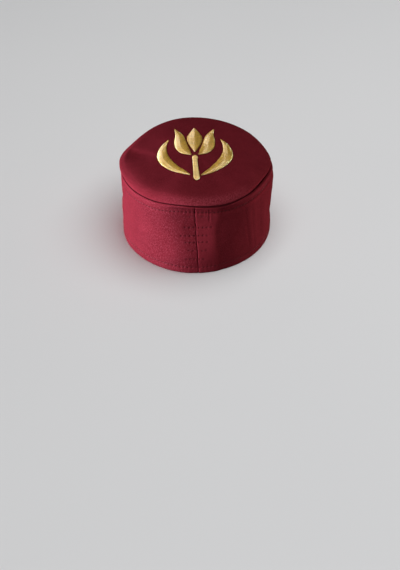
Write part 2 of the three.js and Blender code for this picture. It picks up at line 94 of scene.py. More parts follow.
BAND_OUTSIDE = [
    dict(name="standing face edge", up=0.0, out=-0.8, left=0.2, right=0.0, back=0.0, ledge=0.0),
    dict(name="hem round", up=0.3, out=-0.3, left=0.2, right=0.0, back=0.0, ledge=0.0),
    dict(name="hem fold", up=1.2, out=0.0, left=0.2, right=0.0, back=0.0, ledge=0.0),
    dict(name="hem swell", up=4.0, out=0.1, left=0.1, right=0.0, back=0.0, ledge=0.0),
    dict(name="hem stitch", up=7.8, out=0.0, left=0.0, right=0.0, back=0.0, ledge=0.0),
    dict(name="hem relief", up=11.0, out=0.1, left=-0.1, right=-0.1, back=0.0, ledge=0.0),
    dict(name="lower wall", up=22.0, out=0.3, left=-0.9, right=-1.2, back=0.0, ledge=0.0),
    dict(name="mid wall", up=35.0, out=0.1, left=-0.6, right=-0.1, back=0.0, ledge=0.0),
    dict(name="waist", up=47.0, out=-0.8, left=-1.3, right=2.3, back=0.0, ledge=0.0),
    dict(name="upper wall", up=58.0, out=-0.6, left=-1.0, right=2.6, back=0.0, ledge=0.0),
    dict(name="upper swell", up=66.5, out=0.1, left=-1.8, right=2.1, back=0.0, ledge=0.0),
    dict(name="above swell", up=70.3, out=0.35, left=-2.1, right=1.6, back=0.0, ledge=0.0),
    dict(name="top stitch", up=72.9, out=0.2, left=-1.9, right=1.2, back=-0.1, ledge=0.0),
    dict(name="allowance ridge", up=75.6, out=0.45, left=-2.1, right=0.9, back=-0.5, ledge=0.5),
    dict(name="ridge crest", up=77.6, out=0.4, left=-2.0, right=0.8, back=-0.9, ledge=1.0),
    dict(name="ridge turn", up=79.2, out=0.15, left=-1.6, right=0.5, back=-1.1, ledge=1.6),
    dict(name="seam bank", up=80.1, out=-0.7, left=-1.0, right=0.2, back=-0.9, ledge=2.0),
    dict(name="seam roll", up=80.45, out=-1.6, left=-0.6, right=0.1, back=-0.5, ledge=1.6),
    dict(name="seam edge", up=80.6, out=-2.4, left=-0.2, right=0.0, back=-0.1, ledge=0.9),
    dict(name="seam lip", up=80.62, out=-3.0, left=0.0, right=0.0, back=0.0, ledge=0.0),
]

BAND_INSIDE = [
    dict(name="seam lip", up=80.62, out=-5.4, left=0.0, right=0.0, back=0.0, ledge=0.0),
    dict(name="allowance top", up=77.6, out=-3.6, left=-1.4, right=0.7, back=-0.4, ledge=0.0),
    dict(name="allowance", up=72.5, out=-3.0, left=-1.8, right=1.2, back=0.0, ledge=0.0),
    dict(name="allowance fold", up=67.0, out=-2.7, left=-1.8, right=2.0, back=0.0, ledge=0.0),
    dict(name="allowance edge", up=65.5, out=-2.2, left=-1.8, right=2.0, back=0.0, ledge=0.0),
    dict(name="waist", up=47.0, out=-2.9, left=-1.3, right=2.3, back=0.0, ledge=0.0),
    dict(name="mid wall", up=34.0, out=-2.1, left=-0.6, right=-0.1, back=0.0, ledge=0.0),
    dict(name="hem turn edge", up=28.4, out=-2.0, left=-0.8, right=-0.8, back=0.0, ledge=0.0),
    dict(name="hem turn", up=26.6, out=-2.8, left=-0.8, right=-0.9, back=0.0, ledge=0.0),
    dict(name="hem turn wall", up=14.0, out=-2.7, left=-0.4, right=-0.4, back=0.0, ledge=0.0),
    dict(name="hem stitch", up=7.8, out=-2.9, left=0.0, right=0.0, back=0.0, ledge=0.0),
    dict(name="hem swell", up=3.0, out=-3.0, left=0.1, right=0.0, back=0.0, ledge=0.0),
    dict(name="hem round", up=0.8, out=-2.9, left=0.2, right=0.0, back=0.0, ledge=0.0),
    dict(name="standing face edge", up=0.0, out=-2.2, left=0.2, right=0.0, back=0.0, ledge=0.0),
]

# "crisp" rows are lifted where the shoulder is folded sharp instead of round.
CRISP_SIDES = [
    dict(name="far left", at_deg=-36, half_deg=62, share=1.0),
    dict(name="right", at_deg=196, half_deg=62, share=0.7),
]

CROWN_OUTSIDE = [
    dict(name="seam", inset=0.0, back=0.0, wide=0.0, share=0.0, crisp=0.00, rise=0.15),
    dict(name="seam edge", inset=-0.1, back=0.1, wide=0.0, share=0.0, crisp=0.00, rise=0.6),
    dict(name="shoulder foot", inset=-0.3, back=0.7, wide=0.0, share=0.0, crisp=0.15, rise=1.6),
    dict(name="shoulder side", inset=-0.5, back=2.2, wide=0.1, share=0.0, crisp=0.50, rise=3.4),
    dict(name="shoulder turn", inset=0.1, back=3.3, wide=0.9, share=0.0, crisp=1.00, rise=5.2),
    dict(name="shoulder top", inset=2.0, back=3.6, wide=1.8, share=0.0, crisp=1.10, rise=6.9),
    dict(name="shoulder back", inset=5.3, back=3.0, wide=2.6, share=0.0, crisp=0.80, rise=8.1),
    dict(name="shoulder ease", inset=10.0, back=1.5, wide=3.5, share=0.0, crisp=0.40, rise=8.8),
    dict(name="plate edge", inset=16.0, back=0.0, wide=4.0, share=0.0, crisp=0.00, rise=9.2),
    dict(name="plate outer", inset=16.0, back=0.0, wide=0.0, share=0.14, crisp=0.00, rise=9.7),
    dict(name="plate fold", inset=16.0, back=0.0, wide=0.0, share=0.3, crisp=0.00, rise=10.3),
    dict(name="plate middle", inset=16.0, back=0.0, wide=0.0, share=0.48, crisp=0.00, rise=10.9),
    dict(name="plate inner", inset=16.0, back=0.0, wide=0.0, share=0.7, crisp=0.00, rise=11.5),
    dict(name="middle", inset=16.0, back=0.0, wide=0.0, share=1.0, crisp=0.00, rise=11.9),
]

CROWN_INSIDE = [
    dict(name="middle", inset=16.0, back=0.0, wide=0.0, share=1.0, crisp=0.00, rise=9.9),
    dict(name="plate inner", inset=16.0, back=0.0, wide=0.0, share=0.65, crisp=0.00, rise=9.4),
    dict(name="plate outer", inset=16.0, back=0.0, wide=0.0, share=0.3, crisp=0.00, rise=8.3),
    dict(name="plate edge", inset=16.0, back=0.0, wide=4.0, share=0.0, crisp=0.00, rise=7.2),
    dict(name="shoulder ease", inset=10.2, back=1.5, wide=3.5, share=0.0, crisp=0.40, rise=6.8),
    dict(name="shoulder back", inset=6.2, back=3.0, wide=2.4, share=0.0, crisp=0.80, rise=6.1),
    dict(name="shoulder turn", inset=3.4, back=3.4, wide=1.2, share=0.0, crisp=1.00, rise=5.1),
    dict(name="shoulder side", inset=1.7, back=1.8, wide=0.4, share=0.0, crisp=0.50, rise=3.0),
    dict(name="seam", inset=1.9, back=0.0, wide=0.0, share=0.0, crisp=0.00, rise=0.15),
]

# Valleys pressed into the crown. "far" and "near" are the half widths of their
# two banks, away from the back of the cap and towards it.
CROWN_FOLDS = [
    dict(name="side fold left", x0=86, y0=-26, x1=34, y1=5, depth=1.9, far=6, near=15, start=0.35, end=0.55),
    dict(name="side fold right", x0=-90, y0=6, x1=-56, y1=-6, depth=0.8, far=7, near=6, start=0.3, end=0.6),
    dict(name="soft middle", x0=20, y0=-48, x1=-30, y1=-52, depth=0.35, far=14, near=14, start=0.3, end=0.45),
]

BAND_FOLDS = [
    dict(name="right waist dent", at_deg=177, half_deg=14, up=45, half_up=12, depth=0.6),
    dict(name="right back ripple", at_deg=137, half_deg=8, up=46, half_up=34, depth=0.55),
    dict(name="right side ripple", at_deg=154, half_deg=7, up=42, half_up=34, depth=0.45),
    dict(name="left waist dent", at_deg=6, half_deg=18, up=50, half_up=14, depth=0.4),
    dict(name="front dent", at_deg=262, half_deg=24, up=48, half_up=20, depth=0.8),
]

# ------------------------------------------------------------ sewing

# Path of the closing seam at the back: how far it wanders from the middle.
BACK_SEAM = [
    dict(z=0.0, x=-0.6), dict(z=9.6, x=-0.54), dict(z=17.6, x=-0.28), dict(z=28.1, x=-0.07),
    dict(z=36.0, x=0.4), dict(z=43.8, x=0.88), dict(z=50.2, x=0.95), dict(z=56.6, x=0.75),
    dict(z=59.4, x=1.15), dict(z=61.8, x=1.54), dict(z=66.7, x=1.53), dict(z=74.0, x=1.5),
    dict(z=83.7, x=1.24),
]

# The wall turns along its height at the back.
HEM_TURN, HEM_TURN_TOP, HEM_TURN_DEPTH = 2.0, 46, 30
TOP_TURN, TOP_TURN_FOOT, TOP_TURN_DEPTH = 3.6, 28, 42

CAD_AROUND = 76                   # the solid's points round the cap
STITCH_HALF_COUNT = 67            # stitches in half a round
TOP_ROW_UP = 72.9
HEM_ROW_UP = 7.9

# Rows of short tacks across the seam allowance: the first needle hole each
# side of the seam, the number of holes and their mean pitch.
TACK_ROWS = [
    dict(z=70.3, left=3.0, left_holes=3, right=-2.2, right_holes=4, pitch=4.2, depth=0.16),
    dict(z=57.0, left=3.6, left_holes=3, right=-2.2, right_holes=4, pitch=4.5, depth=0.62),
    dict(z=47.2, left=3.3, left_holes=4, right=-1.6, right_holes=3, pitch=4.6, depth=0.60),
    dict(z=39.9, left=3.1, left_holes=3, right=-1.8, right_holes=3, pitch=4.6, depth=0.58),
    dict(z=30.2, left=4.4, left_holes=2, right=-4.9, right_holes=2, pitch=4.5, depth=0.36),
    dict(z=19.6, left=3.6, left_holes=3, right=-1.8, right_holes=2, pitch=4.3, depth=0.46),
]

# Upright ripples right of the seam, where the cloth buckles over the ear.
RIPPLES = [
    dict(name="first ripple", z0=72.6, x0=-52.1, z1=24.0, x1=-57.0, half=2.6, depth=0.30),
    dict(name="second ripple", z0=67.0, x0=-60.1, z1=19.0, x1=-63.0, half=2.4, depth=0.28),
    dict(name="third ripple", z0=66.0, x0=-70.0, z1=22.0, x1=-71.0, half=2.2, depth=0.25),
]

TULIP = [
    dict(node="tulip_stem", mirror=False, vein=False, rows=[
        dict(across=0.9, along=-60.0, half=0.6),
        dict(across=1.2, along=-56.0, half=3.1),
        dict(across=1.0, along=-46.0, half=3.2),
        dict(across=0.3, along=-30.0, half=2.8),
        dict(across=-0.1, along=-16.0, half=2.6),
        dict(across=0.0, along=-8.0, half=2.9),
        dict(across=0.0, along=-5.0, half=0.6),
    ]),
    dict(node="tulip_leaf", mirror=True, vein=True, rows=[
        dict(across=6.2, along=-49.0, half=0.4),
        dict(across=14.0, along=-41.5, half=3.4),
        dict(across=24.5, along=-30.0, half=5.8),
        dict(across=33.0, along=-14.0, half=6.8),
        dict(across=36.6, along=3.0, half=5.8),
        dict(across=35.4, along=19.0, half=3.4),
        dict(across=30.0, along=33.0, half=0.4),
    ]),
    dict(node="tulip_petal", mirror=True, vein=True, rows=[
        dict(across=4.2, along=-2.6, half=0.7),
        dict(across=9.6, along=4.0, half=5.0),
        dict(across=14.6, along=15.0, half=7.0),
        dict(across=16.6, along=29.0, half=6.6),
        dict(across=17.6, along=43.0, half=4.4),
        dict(across=22.6, along=59.0, half=0.4),
    ]),
    dict(node="tulip_petal_centre", mirror=False, vein=True, rows=[
        dict(across=0.0, along=3.5, half=0.6),
        dict(across=0.0, along=13.0, half=4.2),
        dict(across=0.0, along=27.0, half=8.0),
        dict(across=0.0, along=39.0, half=8.6),
        dict(across=0.0, along=50.0, half=5.6),
        dict(across=0.0, along=62.5, half=0.4),
    ]),
]

THREAD_PITCH = 0.38               # between neighbouring satin threads, along the motif
THREAD_RADIUS = 0.195
SATIN_MID_HEIGHT = 0.68
SATIN_SLANT = 0.62                # how far a thread runs forward for each mm across

# ------------------------------------------------------------ small helpers


def smooth(v):
    t = np.clip(v, 0.0, 1.0)
    return t * t * (3 - 2 * t)


def bump(value, middle, half):
    t = np.abs(value - middle) / half
    return np.where(t >= 1, 0.0, 0.5 + 0.5 * np.cos(np.pi * np.minimum(t, 1)))


def bump_round(angle, at_deg, half_deg):
    turn = (np.degrees(angle) - at_deg + 540.0) % 360.0 - 180.0
    return bump(turn, 0.0, half_deg)


def gauss(v, half):
    return np.exp(-((v / half) ** 2))


def column(rows, key):
    return np.array([row[key] for row in rows], float)


def pchip(x, y, q):
    """A smooth curve through (x, y) that never overshoots, at q."""
    x, y, q = np.asarray(x, float), np.asarray(y, float), np.asarray(q, float)
    h = np.diff(x)
    d = np.diff(y) / h
    m = np.zeros_like(y)
    m[0], m[-1] = d[0], d[-1]
    for i in range(1, len(x) - 1):
        if d[i - 1] * d[i] > 0:
            w1, w2 = 2 * h[i] + h[i - 1], h[i] + 2 * h[i - 1]
            m[i] = (w1 + w2) / (w1 / d[i - 1] + w2 / d[i])
    i = np.clip(np.searchsorted(x, q, side="right") - 1, 0, len(x) - 2)
    t = np.clip((q - x[i]) / h[i], 0, 1)
    t2, t3 = t * t, t * t * t
    return ((2 * t3 - 3 * t2 + 1) * y[i] + (t3 - 2 * t2 + t) * h[i] * m[i]
            + (3 * t2 - 2 * t3) * y[i + 1] + (t3 - t2) * h[i] * m[i + 1])


def waves(seed, count, shortest, longest):
    """Plane waves in space, the same on every run, that sum to about -1 to 1."""
    rng = np.random.default_rng(seed)
    out = []
    for _ in range(count):
        length = rng.uniform(shortest, longest)
        direction = rng.normal(size=3)
        direction /= np.linalg.norm(direction)
        out.append((direction * 2 * np.pi / length, rng.uniform(0, 2 * np.pi)))
    return out


def wave_sum(bundle, x, y, z):
    total = np.zeros(np.broadcast(x, y, z).shape)
    for k, phase in bundle:
        total = total + np.sin(k[0] * x + k[1] * y + k[2] * z + phase)
    return total / math.sqrt(len(bundle) / 2.0) / 1.6


LONG_WAVES = waves(11, 9, 24, 44)
SHORT_WAVES = waves(12, 12, 7, 13)
CROWN_WAVES = waves(13, 8, 26, 60)

# ------------------------------------------------------------ outline


def hem_radius(angle):
    c, s = np.cos(angle), np.sin(angle)
    oval = 1 / np.hypot(c / HEM_HALF_WIDTH, s / HEM_HALF_LENGTH)
    back = oval * s / HEM_HALF_LENGTH
    front = np.minimum(0, back)
    width = HEM_HALF_WIDTH * (1 + BACK_WIDENING * back - FRONT_NARROWING * front * front)
    egg = 1 / np.hypot(c / width, s / HEM_HALF_LENGTH)
    return egg - DIAGONAL_EASE * np.sin(2 * angle) ** 2


def seam_height(angle):
    height = BAND_HEIGHT + 0 * angle
    for w in SEAM_SWAY:
        height = height + w["cosine"] * np.cos(w["waves"] * angle) + w["sine"] * np.sin(w["waves"] * angle)
    for w in SEAM_RISES:
        height = height + w["rise"] * bump_round(angle, w["at_deg"], w["half_deg"])
    return height


def shoulder_shape(angle, key):
    total = 0 * angle
    for d in SHOULDER_SHAPES:
        if d[key]:
            total = total + d[key] * bump_round(angle, d["at_deg"], d["half_deg"])
    return total


def wall_press(angle, share):
    """How far the presses of the shoulder reach into the wall, by share of its height."""
    total = 0 * angle * share
    for d in SHOULDER_SHAPES:
        if d["inset"]:
            total = total + d["inset"] * bump_round(angle, d["at_deg"], d["half_deg"]) \
                * smooth((share - d["start"]) / (1 - d["start"]))
    return total


def crisp_share(angle):
    total = 0 * angle
    for d in CRISP_SIDES:
        total = total + d["share"] * bump_round(angle, d["at_deg"], d["half_deg"])
    return total


def seam_radius(angle):
    return hem_radius(angle) - SEAM_INSET - shoulder_shape(angle, "inset")


def band_fold(angle, up):
    depth = 0 * angle * up
    for f in BAND_FOLDS:
        depth = depth + f["depth"] * bump_round(angle, f["at_deg"], f["half_deg"]) * bump(up, f["up"], f["half_up"])
    return depth


def crown_fold(x, y):
    depth = 0 * x
    for f in CROWN_FOLDS:
        dx, dy = f["x1"] - f["x0"], f["y1"] - f["y0"]
        length = math.hypot(dx, dy)
        along = ((x - f["x0"]) * dx + (y - f["y0"]) * dy) / (length * length)
        across = ((y - f["y0"]) * dx - (x - f["x0"]) * dy) / length
        fade = smooth(along / f["start"]) * smooth((1 - along) / f["end"])
        half = np.where(across * dx > 0, f["near"], f["far"])
        depth = depth + f["depth"] * fade * gauss(across, half)
    return depth


# Arc length along the hem from the middle of the back, positive to the left.
_sweep = np.linspace(0, np.pi, 4001)
_r = hem_radius(np.pi / 2 - _sweep)
_px, _py = _r * np.cos(np.pi / 2 - _sweep), _r * np.sin(np.pi / 2 - _sweep)
_arc = np.concatenate([[0], np.cumsum(np.hypot(np.diff(_px), np.diff(_py)))])
HALF_ROUND = float(_arc[-1])
STITCH = HALF_ROUND / STITCH_HALF_COUNT


def angle_at(arc):
    turn = np.interp(np.abs(arc), _arc, _sweep)
    return np.pi / 2 - np.sign(arc) * turn


def seam_x(z):
    return pchip(column(BACK_SEAM, "z"), column(BACK_SEAM, "x"), z)


# ------------------------------------------------------------ band surface


class Profile:
    """A row table as a smooth curve by arc length. "soften" is the radius in
    mm that its bends are eased over, at the start and at the end of the curve."""

    def __init__(self, rows, first, second, soften=(0.35, 0.35), turn=0.0, width=1.0, far=0.0):
        self.rows = rows
        a = column(rows, first) + (far * column(rows, "share") if far else 0)
        self.s = np.concatenate([[0], np.cumsum(np.hypot(np.diff(a), np.diff(column(rows, second))))])
        self.length = float(self.s[-1])
        self.soften, self.turn, self.width = soften, turn, width
        self.fine = np.linspace(0, self.length, 3001)
        self.cache = {}

    def at(self, key, s):
        if key not in self.cache:
            plain = pchip(self.s, column(self.rows, key), self.fine)
            step = self.fine[1]
            eased = []
            for radius in self.soften:
                reach = int(3 * radius / step) + 1
                kernel = np.exp(-0.5 * (np.arange(-reach, reach + 1) * step / radius) ** 2)
                # Odd reflection keeps both ends where the table has them.
                padded = np.concatenate([2 * plain[0] - plain[reach:0:-1], plain, 2 * plain[-1] - plain[-2:-reach - 2:-1]])
                eased.append(np.convolve(padded, kernel / kernel.sum(), mode="valid"))
            share = smooth((self.fine - self.turn) / self.width)
            self.cache[key] = eased[0] * (1 - share) + eased[1] * share
        return np.interp(s, self.fine, self.cache[key])


OUTSIDE = Profile(BAND_OUTSIDE, "up", "out", soften=(0.25, 0.35), turn=1.0)
INSIDE = Profile(BAND_INSIDE, "up", "out")
_fine = np.linspace(0, OUTSIDE.length, 4000)
_fine_up = OUTSIDE.at("up", _fine)


def outside_at(up):
    return np.interp(up, _fine_up, _fine)


def tack_holes():
    """Every needle hole of the tack rows: x, z, depth."""
    rng = np.random.default_rng(5)
    holes = []
    for row in TACK_ROWS:
        for side, first, count in ((1, row["left"], row["left_holes"]), (-1, row["right"], row["right_holes"])):
            for k in range(count):
                fade = (1.0 if k < 2 else 0.8) * (1.0 if side > 0 else 0.8)
                holes.append((first + side * k * row["pitch"] + rng.uniform(-0.25, 0.25),
                              row["z"] + rng.uniform(-0.2, 0.2), row["depth"] * fade * rng.uniform(0.85, 1.1)))
    return holes


TACK_HOLES = tack_holes()


def row_hole_depth(index, salt):
    """Depth share of one needle hole in a long row, a little different each."""
    v = np.sin(index * 12.9898 + salt * 78.233) * 43758.5453
    return 0.75 + 0.5 * (v - np.floor(v))


def wall_turn(arc, z, up):
    """Outward shift of the whole wall by its turn: rounder left of the closing
    seam at the hem, and flatter there below the top row."""
    low = HEM_TURN * smooth((HEM_TURN_TOP - z) / HEM_TURN_DEPTH) * (0.3 + 0.7 * smooth((z - 2) / 24))
    high = TOP_TURN * smooth((z - TOP_TURN_FOOT) / TOP_TURN_DEPTH) * smooth((80 - up) / 4)
    away = 1 - smooth((arc - 2) / 72)
    out = np.where(arc > 0, (1.75 * away - 0.75) * smooth((118 - arc) / 40), smooth((arc + 30) / 30))
    pressed = np.where(arc > 3, 1 - smooth((arc - 3) / 38), smooth((arc + 70) / 73))
    return low * out - high * pressed


def wall_detail(arc, angle, x, z, up):
    """What sewing and wear add to the plain wall: outward mm, the share of painted shade in seam, holes and creases,
    and the pressed share.
    """
    back = (np.abs(arc) < 90).astype(float)
    beside = x - seam_x(z)                       # + is left of the seam
    near = back * (np.abs(beside) < 60)
    out = np.zeros(np.broadcast(arc, up).shape)
    painted_shade = np.zeros_like(out)
    pressed = np.zeros_like(out)
    top_fade = smooth((80.3 - up) / 1.0)
    hem_fade = smooth((up - 0.2) / 1.4)
    wall = smooth((79.0 - up) / 5.0) * smooth((up - 1.0) / 8.0)

    # The allowance flattens the wall either side of the seam, and on the right
    # it stands proud as far as its edge.
    edge = -20.6 - 4.0 * smooth((z - 50) / 20) - 1.6 * smooth((34 - z) / 14)
    rise = np.where(beside < 0, smooth((-beside - 1.0) / (-edge - 1.0)) ** 1.3, 0.0)
    fall = smooth((x - edge + 5.5) / 8.0)
    body = 0.45 + 0.55 * smooth((z - 6) / 24) * smooth((84 - z) / 14)
    out += near * 1.35 * rise * fall * body
    # Pressed allowance: smoother, and painted lighter as a sheen.
    pressed += near * smooth((-beside + 0.2) / 0.6) * smooth((x - edge + 1.5) / 3.5) * (0.55 + 0.45 * smooth((z - 6) / 20))
    out += near * 0.95 * np.where(beside > 0, smooth(beside / 17) * smooth((42 - beside) / 22), 0.0) * body * smooth((74 - z) / 22)

    out += wall_turn(arc - seam_x(z), z, up)

    # Closing seam: both edges roll in, the right one stands a little higher.
    out -= near * (0.95 * np.maximum(0, 1 - np.abs(beside) / 0.5) ** 0.9 + 0.16 * gauss(beside, 1.6))
    out += near * 0.42 * np.where(beside < 0, smooth((-beside) / 0.75) * np.exp(np.minimum(0, beside) / 6.0), 0.0) * top_fade
    # Painted shade darkens the cloth along the seam line.
    painted_shade += near * np.maximum(0, 1 - np.abs(beside - 0.12) / 0.62)
    out -= near * 0.35 * gauss(beside, 3.5) * gauss(z - 59.2, 3.0)

    # Needle holes of the tack rows, with painted shade in each hole, and the cloth drawn in along them.
    for hx, hz, depth in TACK_HOLES:
        d2 = (x - hx) ** 2 + (z - hz) ** 2
        out -= back * depth * np.exp(-d2 / 0.72)
        painted_shade += back * 1.3 * depth / 0.6 * np.exp(-d2 / 0.72)
        out -= back * 0.10 * np.exp(-d2 / 9.0)
    for row in TACK_ROWS:
        reach = max(row["left_holes"], row["right_holes"]) * row["pitch"]
        along = smooth((reach + 2 - np.abs(x)) / 5)
        out += back * 0.10 * along * (gauss(z - row["z"] - 2.6, 1.7) + gauss(z - row["z"] + 2.6, 1.7))

    # The short crease between crown seam and top row, with painted shade along it.
    for crease_x, low_z, depth in ((-13.7, 62.0, 0.45), (-8.0, 68.0, 0.22), (-17.6, 69.0, 0.20)):
        along = smooth((z - low_z) / 5) * smooth((82.5 - z) / 3) * back
        out -= depth * gauss(x - crease_x, 0.8) * along
        out += 0.3 * depth * gauss(x - crease_x + 1.7, 1.1) * along
        painted_shade += 0.6 * depth * gauss(x - crease_x, 0.7) * along

    # Long rows: top stitching and hem stitching, one hole each pitch, with painted shade in each hole.
    index = np.floor(arc / STITCH)
    offset = arc - (index + 0.5) * STITCH
    right = smooth((-x - 4) / 40) * (np.sin(angle) > -0.3)
    quiet = 1 - 0.75 * smooth((-x - 14) / 16) * (np.sin(angle) > -0.3)
    for row_up, salt, depth, share_right in ((TOP_ROW_UP, 1, 0.46, 1.0), (HEM_ROW_UP, 2, 0.42, quiet)):
        share = row_hole_depth(index, salt)
        level = up - row_up
        d2 = (offset / 0.85) ** 2 + (level / 0.62) ** 2
        out -= depth * share * share_right * np.exp(-d2) * hem_fade
        painted_shade += 1.1 * share * share_right * np.exp(-d2)
        out -= 0.08 * share_right * gauss(level, 1.3)
        ripple = np.cos(2 * np.pi * offset / STITCH) * share_right
        out -= 0.07 * ripple * gauss(level - 2.2, 1.8)
        out -= 0.07 * ripple * gauss(level + 2.2, 1.8)
    out -= right * 0.75 * gauss(up - TOP_ROW_UP + 0.4, 1.5)
    # Painted shade along the fold under the top row on the right.
    painted_shade += right * 0.22 * gauss(up - TOP_ROW_UP + 0.4, 1.2)
    out += right * 0.35 * gauss(up - TOP_ROW_UP + 5.0, 3.0)

    # Ripples on the right.
    for r in RIPPLES:
        line = r["x0"] + (r["x1"] - r["x0"]) * (r["z0"] - z) / (r["z0"] - r["z1"])
        along = smooth((z - r["z1"] + 16) / 18) * smooth((r["z0"] + 5 - z) / 9)
        side = (np.sin(angle) > 0).astype(float)
        d = x - line
        out -= side * r["depth"] * gauss(d, r["half"] * 0.55) * along
        out += side * r["depth"] * 0.7 * gauss(d + 3.0, r["half"]) * along

    # Slow unevenness of hand-shaped cloth.
    y = np.sqrt(np.maximum(0, hem_radius(angle) ** 2 - x * x)) * np.sign(np.sin(angle))
    out += wall * 0.20 * wave_sum(LONG_WAVES, x, y, z * 0.55)
    out += wall * 0.045 * wave_sum(SHORT_WAVES, x, y, z)
    return out * top_fade, np.clip(painted_shade, 0, 1), np.clip(pressed, 0, 1)


def back_share(angle):
    """1 across the back of the cap, 0 from its sides forward."""
    return smooth((np.sin(angle) - 0.05) / 0.5)


def plain_wall(profile, angle, s):
    up, outward = profile.at("up", s), profile.at("out", s)
    share = up / BAND_HEIGHT
    pressed = wall_press(angle, share)
    sides = profile.at("left", s) * bump_round(angle, 0, SIDE_HALF_DEG) \
        + profile.at("right", s) * bump_round(angle, 180, SIDE_HALF_DEG) \
        + profile.at("back", s) * back_share(angle) \
        + profile.at("ledge", s) * bump_round(angle, 150, 50)
    r = hem_radius(angle) + outward + sides - pressed - band_fold(angle, up)
    return r, up, share * seam_height(angle)


def seam_shift(arc, z):
    """The mesh columns beside the seam follow its wandering line."""
    return seam_x(z) * smooth((14 - np.abs(arc)) / 12)


def wall_point(arc, s):
    """A point of the finished outside: arc from the back middle, s along the section."""
    up = OUTSIDE.at("up", s)
    rough_z = up / BAND_HEIGHT * seam_height(angle_at(arc))
    moved = arc + seam_shift(arc, rough_z)
    angle = angle_at(moved)
    r, up, z = plain_wall(OUTSIDE, angle, s)
    x = r * np.cos(angle)
    out, painted_shade, pressed = wall_detail(moved, angle, x, z, up)
    r = r + out
    return np.stack([r * np.cos(angle), r * np.sin(angle), z], -1), painted_shade, pressed


# ------------------------------------------------------------ crown surface


CROWN_OUT = Profile(CROWN_OUTSIDE, "inset", "rise", soften=(0.4, 3.5), turn=9.0, width=9.0, far=66.0)
CROWN_IN = Profile(CROWN_INSIDE, "inset", "rise", soften=(2.0, 0.8), turn=60.0, width=8.0, far=66.0)
_fine_c = np.linspace(0, CROWN_OUT.length, 4000)
_fine_place = CROWN_OUT.at("inset", _fine_c) + 100 * CROWN_OUT.at("share", _fine_c)
_fine_rise = CROWN_OUT.at("rise", _fine_c)


def crown_height(angle, x, y, inset_total, rise):
    nearness = 1 - np.clip(inset_total / seam_radius(angle), 0, 1)
    sway = (seam_height(angle) - BAND_HEIGHT) * nearness
    lift = shoulder_shape(angle, "lift") * nearness * smooth(rise / 8.5)
    folds = crown_fold(x, y) * smooth((inset_total - 0.5) / 7)
    return BAND_HEIGHT + sway + lift + rise - folds


def crown_plain(profile, angle, s):
    edge = seam_radius(angle)
    inset, share, rise = profile.at("inset", s), profile.at("share", s), profile.at("rise", s)
    rise = rise + profile.at("crisp", s) * crisp_share(angle)
    puff = shoulder_shape(angle, "puff") * bump(rise, 4.2, 4.4)
    ease = profile.at("back", s) * back_share(angle) \
        + profile.at("wide", s) * bump_round(angle, 97, 55)
    inset_total = inset + ease - puff + share * (edge - SHOULDER_WIDTH)
    r = edge - inset_total
    x, y = r * np.cos(angle), r * np.sin(angle)
    return x, y, crown_height(angle, x, y, inset_total, rise), rise, inset_total


def crown_top(x, y):
    """Height of the plain crown over points of its plate."""
    angle = np.arctan2(y, x)
    edge = seam_radius(angle)
    inset_total = edge - np.hypot(x, y)
    place = np.where(inset_total <= SHOULDER_WIDTH, inset_total,
                     SHOULDER_WIDTH + 100 * (inset_total - SHOULDER_WIDTH) / (edge - SHOULDER_WIDTH))
    turn = int(np.argmin(_fine_place))
    rise = np.interp(place, _fine_place[turn:], _fine_rise[turn:])
    return crown_height(angle, x, y, inset_total, rise) + crown_slow(x, y)


def crown_slow(x, y):
    return 0.22 * wave_sum(CROWN_WAVES, x, y, 0 * x)


# ------------------------------------------------------------ motif lines


def motif_curve(rows, side, count=601):
    """Points, half widths and arc length along one motif."""
    pts = np.array([[-side * r["across"], -r["along"], r["half"]] for r in rows], float)
    n = len(pts)
    out = []
    for t in np.linspace(0, 1, count):
        p = (n - 1) * t
        i = min(int(p), n - 2)
        w = p - i
        p1, p2 = pts[i], pts[i + 1]
        p0 = pts[i - 1] if i > 0 else 2 * pts[0] - pts[1]
        p3 = pts[i + 2] if i + 2 < n else 2 * pts[-1] - pts[-2]
        d0, d1, d2 = (np.sum((b - a) ** 2) ** 0.25 for a, b in ((p0, p1), (p1, p2), (p2, p3)))
        t1 = ((p1 - p0) / d0 - (p2 - p0) / (d0 + d1) + (p2 - p1) / d1) * d1
        t2 = ((p2 - p1) / d1 - (p3 - p1) / (d1 + d2) + (p3 - p2) / d2) * d1
        out.append((2 * w**3 - 3 * w**2 + 1) * p1 + (w**3 - 2 * w**2 + w) * t1
                   + (3 * w**2 - 2 * w**3) * p2 + (w**3 - w**2) * t2)
    out = np.array(out)
    out[:, 2] = np.maximum(out[:, 2], 0.3)
    arc = np.concatenate([[0], np.cumsum(np.hypot(*np.diff(out[:, :2], axis=0).T))])
    return out, arc


MOTIFS = []
for motif in TULIP:
    for suffix, side in ((("_left", -1), ("_right", 1)) if motif["mirror"] else (("", 1),)):
        MOTIFS.append(dict(node=motif["node"] + suffix, vein=motif["vein"],
                           curve=motif_curve(motif["rows"], side)))


def motif_distance(x, y):
    """Distance outside the nearest motif's edge, negative under it."""
    best = np.full(x.shape, 1e9)
    flat = np.stack([x.ravel(), y.ravel()], -1)
    for m in MOTIFS:
        line = m["curve"][0][::6]
        for k in range(0, len(flat), 4000):
            part = flat[k:k + 4000]
            d = np.hypot(part[:, None, 0] - line[None, :, 0], part[:, None, 1] - line[None, :, 1]) - line[None, :, 2]
            best.ravel()[k:k + 4000] = np.minimum(best.ravel()[k:k + 4000], d.min(axis=1))
    return best


# ------------------------------------------------------------ mesh building

SHIFT = None


def to_frame(points):
    return np.asarray(points, float).reshape(-1, 3) * 0.001 + SHIFT


